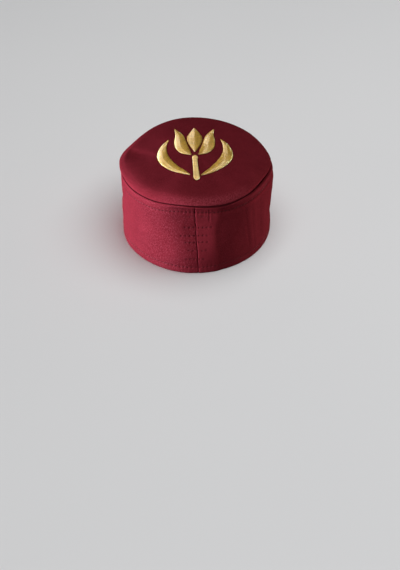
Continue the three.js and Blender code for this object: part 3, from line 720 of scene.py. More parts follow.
def cad_shift():
    """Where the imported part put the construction's own axis."""
    angles = 2 * np.pi * np.arange(CAD_AROUND) / CAD_AROUND
    arcs = np.arctan2(np.cos(angles), np.sin(angles)) * (HEM_HALF_WIDTH + HEM_HALF_LENGTH) / 2
    lo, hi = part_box("band")
    low, high = np.full(2, 1e9), np.full(2, -1e9)
    for row in BAND_OUTSIDE:
        z = row["up"] / BAND_HEIGHT * seam_height(angles)
        sides = row["left"] * bump_round(angles, 0, SIDE_HALF_DEG) + row["right"] * bump_round(angles, 180, SIDE_HALF_DEG) \
            + row["back"] * back_share(angles) + row["ledge"] * bump_round(angles, 150, 50)
        r = hem_radius(angles) + row["out"] + sides - wall_press(angles, row["up"] / BAND_HEIGHT) \
            - band_fold(angles, row["up"]) + wall_turn(arcs, z, row["up"])
        xy = np.stack([r * np.cos(angles), r * np.sin(angles)])
        low, high = np.minimum(low, xy.min(axis=1)), np.maximum(high, xy.max(axis=1))
    return np.array([(lo.x + hi.x) / 2 - (low[0] + high[0]) / 2000,
                     (lo.y + hi.y) / 2 - (low[1] + high[1]) / 2000, lo.z])


SHIFT = cad_shift()


def build(name, points, quads=(), tris=(), uvs=None, values=None, ngons=()):
    """A mesh object from numpy arrays; uvs are per corner, in millimetres."""
    quads = np.asarray(quads, int).reshape(-1, 4)
    tris = np.asarray(tris, int).reshape(-1, 3)
    mesh = bpy.data.meshes.new(name)
    co = to_frame(points)
    mesh.vertices.add(len(co))
    mesh.vertices.foreach_set("co", co.ravel())
    corners = np.concatenate([quads.ravel(), tris.ravel()])
    starts = np.concatenate([np.arange(len(quads)) * 4, len(quads) * 4 + np.arange(len(tris)) * 3])
    mesh.loops.add(len(corners))
    mesh.loops.foreach_set("vertex_index", corners.astype(np.int32))
    mesh.polygons.add(len(starts))
    mesh.polygons.foreach_set("loop_start", starts.astype(np.int32))
    mesh.update(calc_edges=True)
    mesh.polygons.foreach_set("use_smooth", np.ones(len(starts), bool))
    if uvs is not None:
        layer = mesh.uv_layers.new(name="weave")
        layer.data.foreach_set("uv", np.asarray(uvs, np.float32).ravel())
    for key, value in (values or {}).items():
        mesh.attributes.new(key, "FLOAT", "POINT").data.foreach_set("value", np.asarray(value, np.float32).ravel())
    mesh.update()
    mesh.validate()
    obj = bpy.data.objects.new(name, mesh)
    bpy.context.scene.collection.objects.link(obj)
    return obj


def grid_faces(rows, columns, wrap_rows, wrap_columns):
    """Quads of a rows x columns lattice, and the same quads with unwrapped places for UVs."""
    i = np.arange(rows if wrap_rows else rows - 1)
    j = np.arange(columns if wrap_columns else columns - 1)
    ii, jj = np.meshgrid(i, j, indexing="ij")
    ii, jj = ii.ravel(), jj.ravel()
    i1, j1 = ii + 1, jj + 1
    quads = np.stack([(ii % rows) * columns + jj % columns, (ii % rows) * columns + j1 % columns,
                      (i1 % rows) * columns + j1 % columns, (i1 % rows) * columns + jj % columns], -1)
    places = np.stack([np.stack([ii, jj], -1), np.stack([ii, j1], -1),
                       np.stack([i1, j1], -1), np.stack([i1, jj], -1)], 1)
    return quads, places


def make_band():
    fine = [0.12, 0.26]
    near = list(np.arange(1, 71) * STITCH / 10)
    far = list(7 * STITCH + np.arange(1, 4 * (STITCH_HALF_COUNT - 7)) * STITCH / 4)
    one = np.array(fine + near + far)
    arcs = np.concatenate([[0], one, [HALF_ROUND], -one[::-1]])
    arcs_uv = np.concatenate([[0], one, [HALF_ROUND], 2 * HALF_ROUND - one[::-1], [2 * HALF_ROUND]])

    stitched = [TOP_ROW_UP, HEM_ROW_UP] + [r["z"] * BAND_HEIGHT / 82.9 for r in TACK_ROWS]
    ups = [1.6]
    while ups[-1] < 77.4:
        gap = min(abs(ups[-1] + 0.4 - c) for c in stitched)
        ups.append(ups[-1] + (0.42 if gap < 1.1 else 0.7 if gap < 2.2 else 1.12))
    s_low = outside_at(ups[0])
    s_high = outside_at(ups[-1])
    s_rows = np.concatenate([np.linspace(0, s_low, 7)[:-1], outside_at(np.array(ups)),
                             np.linspace(s_high, OUTSIDE.length, 19)[1:]])
    grid_arc, grid_s = np.meshgrid(arcs, s_rows)
    points, painted_shade, pressed = wall_point(grid_arc, grid_s)
    # Painted shade in the crevice under the crown seam, wider just right of the back seam.
    lip = smooth((grid_s - (OUTSIDE.length - 1.1 - 2.2 * bump_round(angle_at(grid_arc), 102, 26))) / 0.9)
    painted_shade = np.clip(painted_shade + lip, 0, 1)
    crest = 0.5 * gauss(OUTSIDE.at("up", grid_s) - 78.9, 0.9) + 0.35 * gauss(OUTSIDE.at("up", grid_s) - 0.8, 1.0)

    inner_s = np.linspace(0, INSIDE.length, 24)
    in_arc, in_s = np.meshgrid(arcs, inner_s)
    angle = angle_at(in_arc)
    r, up, z = plain_wall(INSIDE, angle, in_s)
    r = r + wall_turn(in_arc - seam_x(z), z, up)
    x = r * np.cos(angle)
    # Inside, the two edges of the seam lie open either side of it.
    allowance = (np.abs(in_arc) < 90) * smooth((21 - np.abs(x)) / 1.2) * smooth(np.abs(x) / 0.8) \
        * smooth((up - 3) / 2) * smooth((78 - up) / 2)
    r = r - 0.35 * allowance
    inside = np.stack([r * np.cos(angle), r * np.sin(angle), z], -1)
    all_points = np.concatenate([points, inside])
    zero = np.zeros(in_s.shape)
    quads, places = grid_faces(len(all_points), len(arcs), True, True)
    quads = quads[:, ::-1]
    places = places[:, ::-1]
    v_rows = np.concatenate([s_rows, OUTSIDE.length + 2.4 + inner_s, [OUTSIDE.length + 4 + INSIDE.length + 1.5]])
    uv = np.stack([arcs_uv[places[..., 1]], v_rows[places[..., 0]]], -1)
    # glint is where painted glints go, strongest left of the back seam on the lit side.
    values = dict(painted_shade=np.concatenate([painted_shade, zero]), pressed=np.concatenate([pressed, zero]),
                  crest=np.concatenate([crest, zero]),
                  glint=np.concatenate([0.3 + 0.7 * bump(grid_arc, 40, 62), zero]),
                  lining=np.concatenate([0 * painted_shade, 1 + zero]))
    return build("band_cloth", all_points, quads, uvs=uv, values=values)


def make_crown():
    columns = 480
    angles = 2 * np.pi * np.arange(columns) / columns + np.pi / 2
    turn_s = CROWN_OUT.s[7]
    s_rows = np.concatenate([np.linspace(0, turn_s, 34)[:-1],
                             np.linspace(turn_s, CROWN_OUT.length, 78)])[:-1]
    a, s = np.meshgrid(angles, s_rows)
    x, y, z, rise, inset = crown_plain(CROWN_OUT, a, s)
    plate = smooth((inset - 1.0) / 8.0)
    distance = motif_distance(x, y)
    sink = 0.34 * smooth((0.15 - distance) / 0.7) + 0.16 * smooth((2.6 - distance) / 2.6)
    tight = 0.06 * gauss(distance - 1.4, 1.4) * np.sin(0.9 * x + 0.5 * np.sin(0.31 * y)) * np.sin(0.8 * y + 1.3)
    z = z + plate * (crown_slow(x, y) - sink + tight)
    # Small gathers where the crown is eased into the seam.
    arc = a * 93.0
    ease = np.sin(arc / 1.15 + 1.7 * np.sin(arc / 9.0)) * bump(rise, 1.9, 2.6) * 0.07
    slow = wave_sum(LONG_WAVES, x, y, 0 * z + 40) * bump(rise, 4.0, 5.0) * 0.22 * (inset < 9)
    grow = ease + slow
    x, y = x + grow * np.cos(a), y + grow * np.sin(a)
    # Painted shade at the foot of the crown seam and round the edges of the motif.
    painted_shade = smooth((0.8 - s) / 0.7) * (s < 3) + 0.55 * gauss(distance + 0.05, 0.55) * (distance < 0.6)
    outside = np.stack([x, y, z], -1)
    # The shoulder is painted paler at the back, a painted sheen where the roll turns towards the light from above
    # and behind.
    painted_roll_sheen = 1.9 * (1 - smooth((rise - 4.6) / 4.2)) * bump_round(a, 101, 44)

    inner_s = np.linspace(0, CROWN_IN.length, 26)[1:]
    ia, is_ = np.meshgrid(angles, inner_s)
    ix, iy, iz, _, _ = crown_plain(CROWN_IN, ia, is_)
    inside = np.stack([ix, iy, iz + crown_slow(ix, iy) * smooth((60 - np.hypot(ix, iy)) / 20)], -1)

    centre_top = np.array([[0.0, 0.0, float(crown_top(np.zeros(1), np.zeros(1))[0] - 0.1)]])
    cx, cy, cz, _, _ = crown_plain(CROWN_IN, np.zeros(1), np.zeros(1))
    centre_in = np.array([[0.0, 0.0, float(cz[0])]])
    rings = np.concatenate([inside, outside])          # from the inner middle out and over
    quads, places = grid_faces(len(rings), columns, False, True)
    n = len(rings) * columns
    j = np.arange(columns)
    j1 = (j + 1) % columns
    first, last = n, n + 1
    tris_in = np.stack([np.full(columns, first), j1, j], -1)
    base = (len(rings) - 1) * columns
    tris_out = np.stack([np.full(columns, last), base + j, base + j1], -1)
    points = np.concatenate([rings.reshape(-1, 3), centre_in, centre_top])
    flat_s = np.concatenate([inner_s, CROWN_IN.length + 2 + s_rows])
    # Cloth coordinates: distance from the middle along the cloth, laid out flat.
    radius = np.concatenate([inner_s + 0 * inner_s, (CROWN_OUT.length - s_rows)])
    place_a = np.concatenate([angles, [angles[0] + 2 * np.pi]])
    rr, aa = radius[places[..., 0]], place_a[places[..., 1]]
    uv_q = np.stack([rr * np.cos(aa) * 1.02, rr * np.sin(aa) * 1.1], -1)
    uv_t = np.zeros((2 * columns, 3, 2))
    for k, tri_ring in ((0, 0), (1, len(rings) - 1)):
        for corner, shift in ((1, (1 if k == 0 else 0)), (2, (0 if k == 0 else 1))):
            aa_t = place_a[j + shift]
            uv_t[k * columns:(k + 1) * columns, corner, 0] = radius[tri_ring] * np.cos(aa_t) * 1.02
            uv_t[k * columns:(k + 1) * columns, corner, 1] = radius[tri_ring] * np.sin(aa_t) * 1.1
    uv = np.concatenate([uv_q.reshape(-1, 2), uv_t.reshape(-1, 2)])
    zero = np.zeros(inside.shape[:2]).ravel()
    # On the crown, crest carries the painted sheen of the back shoulder, and the painted glints follow it.
    values = dict(painted_shade=np.concatenate([zero, np.clip(painted_shade, 0, 1).ravel(), [0, 0]]),
                  pressed=np.zeros(len(points)), crest=np.concatenate([zero, painted_roll_sheen.ravel(), [0, 0]]),
                  glint=np.concatenate([zero, 0.22 + 0.35 * np.minimum(painted_roll_sheen, 1).ravel(), [0, 0]]),
                  lining=np.concatenate([zero + 1, 0 * painted_shade.ravel(), [1, 0]]))
    tris = np.concatenate([tris_in, tris_out])
    obj = build("crown_cloth", points, quads, tris, uvs=uv, values=values)
    return obj


def fix_normals(obj):
    """Turns the whole mesh when its enclosed volume comes out negative."""
    mesh = obj.data
    mesh.calc_loop_triangles()
    co = np.empty(len(mesh.vertices) * 3)
    mesh.vertices.foreach_get("co", co)
    co = co.reshape(-1, 3)
    tri = np.empty(len(mesh.loop_triangles) * 3, np.int32)
    mesh.loop_triangles.foreach_get("vertices", tri)
    a, b, c = (co[tri.reshape(-1, 3)[:, k]] for k in range(3))
    if np.sum(a * np.cross(b, c)) < 0:
        mesh.flip_normals()
    return obj


def tubes(paths, radii, sides=6, up=None):
    """Round threads: paths (threads, stations, 3), radii (threads, stations)."""
    threads, stations, _ = paths.shape
    tangent = np.gradient(paths, axis=1)
    tangent /= np.linalg.norm(tangent, axis=2, keepdims=True) + 1e-12
    up = np.array([0, 0, 1.0]) if up is None else up
    side = np.cross(tangent, up)
    side /= np.linalg.norm(side, axis=2, keepdims=True) + 1e-12
    lift = np.cross(side, tangent)
    turn = 2 * np.pi * (np.arange(sides) + 0.5) / sides
    ring = (np.cos(turn)[None, None, :, None] * side[:, :, None, :]
            + np.sin(turn)[None, None, :, None] * lift[:, :, None, :])
    skin = paths[:, :, None, :] + radii[:, :, None, None] * ring
    per = stations * sides + 2
    ends0 = paths[:, 0] - tangent[:, 0] * radii[:, 0, None] * 0.5
    ends1 = paths[:, -1] + tangent[:, -1] * radii[:, -1, None] * 0.5
    points = np.concatenate([skin.reshape(threads, -1, 3), ends0[:, None], ends1[:, None]], axis=1)
    quads, places = grid_faces(stations, sides, False, True)
    k = np.arange(sides)
    k1 = (k + 1) % sides
    tip0, tip1 = stations * sides, stations * sides + 1
    tris = np.concatenate([np.stack([np.full(sides, tip0), k1, k], -1),
                           np.stack([np.full(sides, tip1), (stations - 1) * sides + k, (stations - 1) * sides + k1], -1)])
    start = (np.arange(threads) * per)[:, None, None]
    length = np.concatenate([np.zeros((threads, 1)),
                             np.cumsum(np.linalg.norm(np.diff(paths, axis=1), axis=2), axis=1)], axis=1)
    around = np.arange(sides + 1) / sides
    uv_q = np.stack([np.broadcast_to(around[places[..., 1]], (threads,) + places.shape[:2]),
                     length[:, places[..., 0]]], -1)
    uv_t = np.zeros((threads, 2 * sides, 3, 2))
    uv_t[:, :, :, 0] = 0.5
    uv_t[:, sides:, :, 1] = length[:, -1][:, None, None]
    return points, (quads[None] + start).reshape(-1, 4), (tris[None] + start).reshape(-1, 3), uv_q, uv_t, per


def join_tubes(name, groups, values_each, body=None):
    """One mesh from several tube groups and an optional plain body."""
    pts, quads, tris, uvq, uvt, value = [], [], [], [], [], []
    base = 0
    for (points, q, t, uq, ut, per), v in zip(groups, values_each):
        pts.append(points.reshape(-1, 3))
        quads.append(q + base)
        tris.append(t + base)
        uvq.append(uq.reshape(-1, 2))
        uvt.append(ut.reshape(-1, 2))
        value.append(np.repeat(v, per))
        base += points.shape[0] * per
    if body is not None:
        bp, bq, bt = body
        pts.append(bp)
        quads.append(np.asarray(bq, int).reshape(-1, 4) + base)
        tris.append(np.asarray(bt, int).reshape(-1, 3) + base)
        uvq.append(np.zeros((len(quads[-1]) * 4, 2)))
        uvt.append(np.zeros((len(tris[-1]) * 3, 2)))
        value.append(np.full(len(bp), -1.0))
    uv = np.concatenate(uvq + uvt)
    return build(name, np.concatenate(pts), np.concatenate(quads), np.concatenate(tris), uvs=uv,
                 values=dict(strand=np.concatenate(value)))


def make_row_stitching(name, row_up, slant, seed):
    """Thread between the needle holes of a long row."""
    rng = np.random.default_rng(seed)
    count = 2 * STITCH_HALF_COUNT
    k = np.arange(count) - STITCH_HALF_COUNT
    a0 = (k + 0.5) * STITCH
    share = np.array([0.0, 0.06, 0.2, 0.5, 0.8, 0.94, 1.0])
    height = np.array([-0.34, -0.04, 0.06, 0.08, 0.06, -0.04, -0.34])
    arc = a0[:, None] + share[None] * STITCH
    arc = (arc + HALF_ROUND) % (2 * HALF_ROUND) - HALF_ROUND
    tilt = slant * (0.5 - share)[None] + rng.uniform(-0.08, 0.08, (count, 1))
    up = row_up + tilt
    s = outside_at(up)
    points, _, _ = wall_point(arc, s)
    away = points.copy()
    away[..., 2] = 0
    away /= np.linalg.norm(away, axis=2, keepdims=True)
    lift = height[None, :, None] * rng.uniform(0.9, 1.1, (count, 1, 1))
    points = points + away * lift
    keep = ~((a0 < 0) & (a0 + STITCH > 0))
    radii = 0.17 * np.array([0.7, 1.0, 1.0, 1.0, 1.0, 1.0, 0.7])[None] * np.ones((count, 1))
    return join_tubes(name, [tubes(points[keep], radii[keep])], [rng.uniform(0, 1, keep.sum())])


def make_tacks():
    """Short tacks between neighbouring needle holes beside the seam."""
    rng = np.random.default_rng(9)
    holes = {}
    for hx, hz, _ in TACK_HOLES:
        holes.setdefault(round(hz / 3.0), []).append((hx, hz))
    share = np.array([0.0, 0.1, 0.3, 0.5, 0.7, 0.9, 1.0])
    height = np.array([-0.5, -0.08, 0.06, 0.09, 0.06, -0.08, -0.5])
    paths = []
    for group in holes.values():
        group = sorted(group)
        for (xa, za), (xb, zb) in zip(group[:-1], group[1:]):
            if xa < 0 < xb:
                continue
            x = xa + (xb - xa) * share
            z = za + (zb - za) * share
            arc = x.copy()
            for _ in range(6):
                moved = arc + seam_shift(arc, z)
                ang = angle_at(moved)
                arc = arc + (x - hem_radius(ang) * np.cos(ang))
            s = outside_at(z * BAND_HEIGHT / seam_height(angle_at(arc)))
            pts, _, _ = wall_point(arc, s)
            away = pts.copy()
            away[:, 2] = 0
            away /= np.linalg.norm(away, axis=1, keepdims=True)
            paths.append(pts + away * height[:, None])
    paths = np.array(paths)
    radii = 0.15 * np.array([0.7, 1.0, 1.0, 1.0, 1.0, 1.0, 0.7])[None] * np.ones((len(paths), 1))
    return join_tubes("seam_tacks", [tubes(paths, radii)], [rng.uniform(0, 1, len(paths))])


def laid_groups(rng, count):
    """Threads settle in groups of about four: height and tone, -1 to 1, by thread."""
    at = np.cumsum(rng.uniform(2.6, 5.4, count // 3 + 4))
    return np.interp(np.arange(count), at, rng.uniform(-1, 1, len(at)))


def make_motif(motif, seed):
    """One embroidered shape: satin threads side by side over a padded core."""
    rng = np.random.default_rng(seed)
    line, arc = motif["curve"]
    total = arc[-1]

    def at(q):
        q = np.clip(q, 0, total)
        c = np.stack([np.interp(q, arc, line[:, 0]), np.interp(q, arc, line[:, 1])], -1)
        h = np.interp(q, arc, line[:, 2])
        e = 0.25
        g = np.stack([np.interp(np.minimum(q + e, total), arc, line[:, i]) - np.interp(np.maximum(q - e, 0), arc, line[:, i])
                      for i in (0, 1)], -1)
        g /= np.linalg.norm(g, axis=-1, keepdims=True)
        return c, h, np.stack([-g[..., 1], g[..., 0]], -1)

    def lay(xy, height):
        return np.concatenate([xy, (crown_top(xy[..., 0], xy[..., 1]) + height)[..., None]], -1)

    groups, values = [], []
    count = int(total / THREAD_PITCH)
    outer = (np.arange(count) + 0.5) / count * total
    if motif["vein"]:
        share = np.array([0.0, 0.10, 0.26, 0.46, 0.66, 0.82, 0.93, 1.0])
        rise = np.array([0.70, 0.86, 0.97, 1.0, 0.98, 0.90, 0.68, -0.08])
        for side in (-1, 1):
            o = outer + rng.uniform(-0.06, 0.06, count)
            ce, he, ne = at(o)
            inner = np.clip(o - SATIN_SLANT * he, 0, total)
            ci, hi, ni = at(inner)
            start = ci - ni * side * (0.12 + rng.uniform(0, 0.14, count))[:, None] * np.minimum(1, hi)[:, None]
            end = ce + ne * side * (he + rng.uniform(-0.07, 0.06, count))[:, None]
            xy = start[:, None] + (end - start)[:, None] * share[None, :, None]
            body = np.minimum(1, 0.42 + he / 4.2)[:, None] * SATIN_MID_HEIGHT * rise[None]
            group = laid_groups(rng, count)
            body = body + (rng.uniform(-0.03, 0.03, count) + 0.06 * group)[:, None] * np.minimum(1, he)[:, None]
            paths = lay(xy, body)
            radii = THREAD_RADIUS * np.array([0.75, 0.95, 1, 1, 1, 1, 0.95, 0.7])[None] * rng.uniform(0.93, 1.05, (count, 1))
            groups.append(tubes(paths, radii))
            values.append(np.clip(0.5 + 0.38 * group + rng.uniform(-0.3, 0.3, count), 0, 1))
    else:
        share = np.array([0.0, 0.06, 0.16, 0.32, 0.5, 0.68, 0.84, 0.94, 1.0])
        rise = np.array([-0.06, 0.50, 0.84, 0.97, 1.0, 0.97, 0.84, 0.50, -0.06])
        c0, h0, n0 = at(outer - 0.22 * np.interp(outer, arc, line[:, 2]))
        c1, h1, n1 = at(outer + 0.22 * np.interp(outer, arc, line[:, 2]))
        start = c0 - n0 * (h0 + rng.uniform(-0.07, 0.06, count))[:, None]
        end = c1 + n1 * (h1 + rng.uniform(-0.07, 0.06, count))[:, None]
        xy = start[:, None] + (end - start)[:, None] * share[None, :, None]
        _, hm, _ = at(outer)
        body = np.minimum(1, 0.42 + hm / 4.2)[:, None] * SATIN_MID_HEIGHT * rise[None]
        group = laid_groups(rng, count)
        body = body + (rng.uniform(-0.03, 0.03, count) + 0.06 * group)[:, None] * np.minimum(1, hm)[:, None]
        radii = THREAD_RADIUS * np.array([0.7, 0.95, 1, 1, 1, 1, 1, 0.95, 0.7])[None] * rng.uniform(0.93, 1.05, (count, 1))
        groups.append(tubes(lay(xy, body), radii))
        values.append(np.clip(0.5 + 0.38 * group + rng.uniform(-0.3, 0.3, count), 0, 1))

    # The padding that the threads wrap, closed underneath.
    stations = np.linspace(0.3, total - 0.3, max(24, int(total / 1.1)))
    c, h, n = at(stations)
    thin = np.minimum(1, 0.42 + h / 4.2)
    across = np.array([-0.97, -0.8, -0.5, -0.12, 0.12, 0.5, 0.8, 0.97])
    if motif["vein"]:
        top = np.array([-0.1, 0.52, 0.80, 0.58, 0.58, 0.80, 0.52, -0.1])
    else:
        top = np.array([-0.1, 0.56, 0.80, 0.86, 0.86, 0.80, 0.56, -0.1])
    xy = c[:, None] + n[:, None] * (h[:, None] * across[None])[..., None]
    upper = lay(xy, SATIN_MID_HEIGHT * thin[:, None] * top[None] - 0.05)
    lower = lay(xy[:, ::-1][:, 1:-1], np.full((len(stations), 6), -0.22))
    section = np.concatenate([upper, lower], axis=1)
    width = section.shape[1]
    bq, _ = grid_faces(len(stations), width, False, True)
    k = np.arange(width)
    tip0 = len(stations) * width
    bt = np.concatenate([np.stack([np.full(width, tip0), (k + 1) % width, k], -1),
                         np.stack([np.full(width, tip0 + 1), (len(stations) - 1) * width + k,
                                   (len(stations) - 1) * width + (k + 1) % width], -1)])
    body_points = np.concatenate([section.reshape(-1, 3), section[0].mean(axis=0)[None], section[-1].mean(axis=0)[None]])
    bq = bq[:, ::-1]
    bt = bt[:, ::-1]
    return join_tubes(motif["node"] + "_satin", groups, values, body=(body_points, bq, bt))


# ------------------------------------------------------------ materials


def new_material(name):
    material = bpy.data.materials.new(name)
    material.use_nodes = True
    tree = material.node_tree
    shader = tree.nodes["Principled BSDF"]
    return material, tree, shader


def node(tree, kind, **settings):
    made = tree.nodes.new(kind)
    for key, value in settings.items():
        setattr(made, key, value)
    return made


def math_node(tree, operation, a, b=None, clamp=False):
    made = node(tree, "ShaderNodeMath", operation=operation, use_clamp=clamp)
    for index, value in enumerate((a, b)):
        if value is None:
            continue
        if isinstance(value, (int, float)):
            made.inputs[index].default_value = value
        else:
            tree.links.new(value, made.inputs[index])
    return made.outputs[0]


def mix_colour(tree, factor, a, b, blend="MIX"):
    made = node(tree, "ShaderNodeMix", data_type="RGBA", blend_type=blend)
    for socket, value in ((made.inputs[0], factor), (made.inputs[6], a), (made.inputs[7], b)):
        if isinstance(value, (int, float)):
            socket.default_value = value
        elif isinstance(value, tuple):
            socket.default_value = (*value, 1.0)
        else:
            tree.links.new(value, socket)
    return made.outputs[2]


def noise(tree, vector, scale, detail=2.0, rough=0.5):
    made = node(tree, "ShaderNodeTexNoise")
    made.inputs["Scale"].default_value = scale
    made.inputs["Detail"].default_value = detail
    made.inputs["Roughness"].default_value = rough
    tree.links.new(vector, made.inputs["Vector"])
    return made.outputs[0]


def stretch(tree, vector, scale, turn=0.0):
    made = node(tree, "ShaderNodeMapping")
    made.inputs["Scale"].default_value = scale
    made.inputs["Rotation"].default_value = (0, 0, math.radians(turn))
    tree.links.new(vector, made.inputs["Vector"])
    return made.outputs[0]


def between(tree, value, low, high, to_low, to_high):
    made = node(tree, "ShaderNodeMapRange", clamp=True)
    for index, number in ((1, low), (2, high), (3, to_low), (4, to_high)):
        made.inputs[index].default_value = number
    tree.links.new(value, made.inputs[0])
    return made.outputs[0]


CLOTH_DARK = (0.069, 0.0052, 0.0081)
CLOTH_LIGHT = (0.113, 0.0096, 0.0146)


def cloth_material():
    material, tree, shader = new_material("burgundy_gabardine")
    links = tree.links
    uv = node(tree, "ShaderNodeUVMap", uv_map="weave").outputs[0]
    painted_shade = node(tree, "ShaderNodeAttribute", attribute_name="painted_shade").outputs["Fac"]
    pressed = node(tree, "ShaderNodeAttribute", attribute_name="pressed").outputs["Fac"]
    crest = node(tree, "ShaderNodeAttribute", attribute_name="crest").outputs["Fac"]
    glint = node(tree, "ShaderNodeAttribute", attribute_name="glint").outputs["Fac"]

    # Steep twill: warp floats that climb to the right, with yarns of uneven
    # thickness.
    twill = node(tree, "ShaderNodeTexWave", wave_type="BANDS", bands_direction="X", wave_profile="SIN")
    twill.inputs["Scale"].default_value = 0.55
    twill.inputs["Distortion"].default_value = 0.6
    twill.inputs["Detail"].default_value = 1.0
    twill.inputs["Detail Scale"].default_value = 1.5
    links.new(stretch(tree, uv, (1, 1, 1), 62), twill.inputs["Vector"])
    weft = node(tree, "ShaderNodeTexWave", wave_type="BANDS", bands_direction="Y", wave_profile="SIN")
    weft.inputs["Scale"].default_value = 0.85
    weft.inputs["Distortion"].default_value = 0.8
    weft.inputs["Detail"].default_value = 1.0
    links.new(uv, weft.inputs["Vector"])
    yarn = noise(tree, stretch(tree, uv, (1.6, 0.12, 1)), 1.0, 2.0, 0.6)
    slub = noise(tree, stretch(tree, uv, (0.10, 1.2, 1)), 1.0, 2.0, 0.6)
    speck = noise(tree, uv, 0.8, 2.0, 0.75)
    cloud = noise(tree, uv, 0.035, 3.0, 0.55)
    blotch = noise(tree, uv, 0.13, 3.0, 0.6)

    tone = math_node(tree, "MULTIPLY", speck, 0.95)
    tone = math_node(tree, "ADD", tone, math_node(tree, "MULTIPLY", cloud, 0.30))
    tone = math_node(tree, "ADD", tone, math_node(tree, "MULTIPLY", blotch, 0.22))
    tone = math_node(tree, "ADD", tone, math_node(tree, "MULTIPLY", yarn, 0.20))
    tone = math_node(tree, "ADD", tone, math_node(tree, "MULTIPLY", twill.outputs[1], 0.10))
    tone = between(tree, tone, 0.70, 1.06, 0.0, 1.0)
    colour = mix_colour(tree, tone, CLOTH_DARK, CLOTH_LIGHT)
    # Painted glints: pale specks painted into the colour where standing floats would catch the light.
    spark = between(tree, noise(tree, stretch(tree, uv, (1.25, 0.5, 1), 62), 1.0, 1.0, 0.5), 0.54, 0.68, 0.0, 0.66)
    colour = mix_colour(tree, math_node(tree, "MULTIPLY", spark, glint), colour, (0.20, 0.030, 0.044))
    # Painted sheen: the pressed allowance is painted lighter.
    painted_sheen = math_node(tree, "MULTIPLY", pressed, 0.55)
    colour = mix_colour(tree, painted_sheen, colour, (0.138, 0.0125, 0.0185))
    # Paler with wear along the band's crest and hem edge; on the crown's back shoulder the same mix is painted
    # sheen.
    wear_and_sheen = math_node(tree, "MULTIPLY", crest, between(tree, speck, 0.42, 0.66, 0.05, 0.5))
    colour = mix_colour(tree, wear_and_sheen, colour, (0.19, 0.025, 0.037))
    # Painted shade: near black in seams, holes, creases and under the crown seam.
    colour = mix_colour(tree, math_node(tree, "MULTIPLY", painted_shade, 0.78), colour, (0.012, 0.0008, 0.0014))
    links.new(colour, shader.inputs["Base Color"])

    rough = between(tree, math_node(tree, "ADD", speck, math_node(tree, "MULTIPLY", pressed, -0.25)), 0.2, 0.8, 0.56, 0.72)
    links.new(rough, shader.inputs["Roughness"])
    shader.inputs["Metallic"].default_value = 0.10
    shader.inputs["Specular IOR Level"].default_value = 0.0
    shader.inputs["Specular Tint"].default_value = (1.0, 0.16, 0.24, 1.0)

    height = math_node(tree, "MULTIPLY", twill.outputs[1], 0.55)
    height = math_node(tree, "ADD", height, math_node(tree, "MULTIPLY", weft.outputs[1], 0.22))
    height = math_node(tree, "ADD", height, math_node(tree, "MULTIPLY", yarn, 0.45))
    height = math_node(tree, "ADD", height, math_node(tree, "MULTIPLY", slub, 0.30))
    relief = node(tree, "ShaderNodeBump")
    relief.inputs["Strength"].default_value = 0.55
    relief.inputs["Distance"].default_value = 0.00012
    links.new(height, relief.inputs["Height"])
    links.new(relief.outputs[0], shader.inputs["Normal"])
    return material


def sewing_thread_material():
    material, tree, shader = new_material("burgundy_sewing_thread")
    links = tree.links
    uv = node(tree, "ShaderNodeUVMap", uv_map="weave").outputs[0]
    strand = node(tree, "ShaderNodeAttribute", attribute_name="strand").outputs["Fac"]
    ply = node(tree, "ShaderNodeTexWave", wave_type="BANDS", bands_direction="DIAGONAL", wave_profile="SIN")
    ply.inputs["Scale"].default_value = 0.9
    links.new(stretch(tree, uv, (1.0, 1.4, 1)), ply.inputs["Vector"])
    tone = math_node(tree, "ADD", math_node(tree, "MULTIPLY", strand, 0.5), math_node(tree, "MULTIPLY", ply.outputs[1], 0.5))
    links.new(mix_colour(tree, tone, (0.072, 0.0056, 0.009), (0.112, 0.0096, 0.0155)), shader.inputs["Base Color"])
    shader.inputs["Roughness"].default_value = 0.55
    shader.inputs["Metallic"].default_value = 0.2
    shader.inputs["Specular IOR Level"].default_value = 0.15
    relief = node(tree, "ShaderNodeBump")
    relief.inputs["Strength"].default_value = 0.5
    relief.inputs["Distance"].default_value = 0.00006
    links.new(ply.outputs[1], relief.inputs["Height"])
    links.new(relief.outputs[0], shader.inputs["Normal"])
    return material


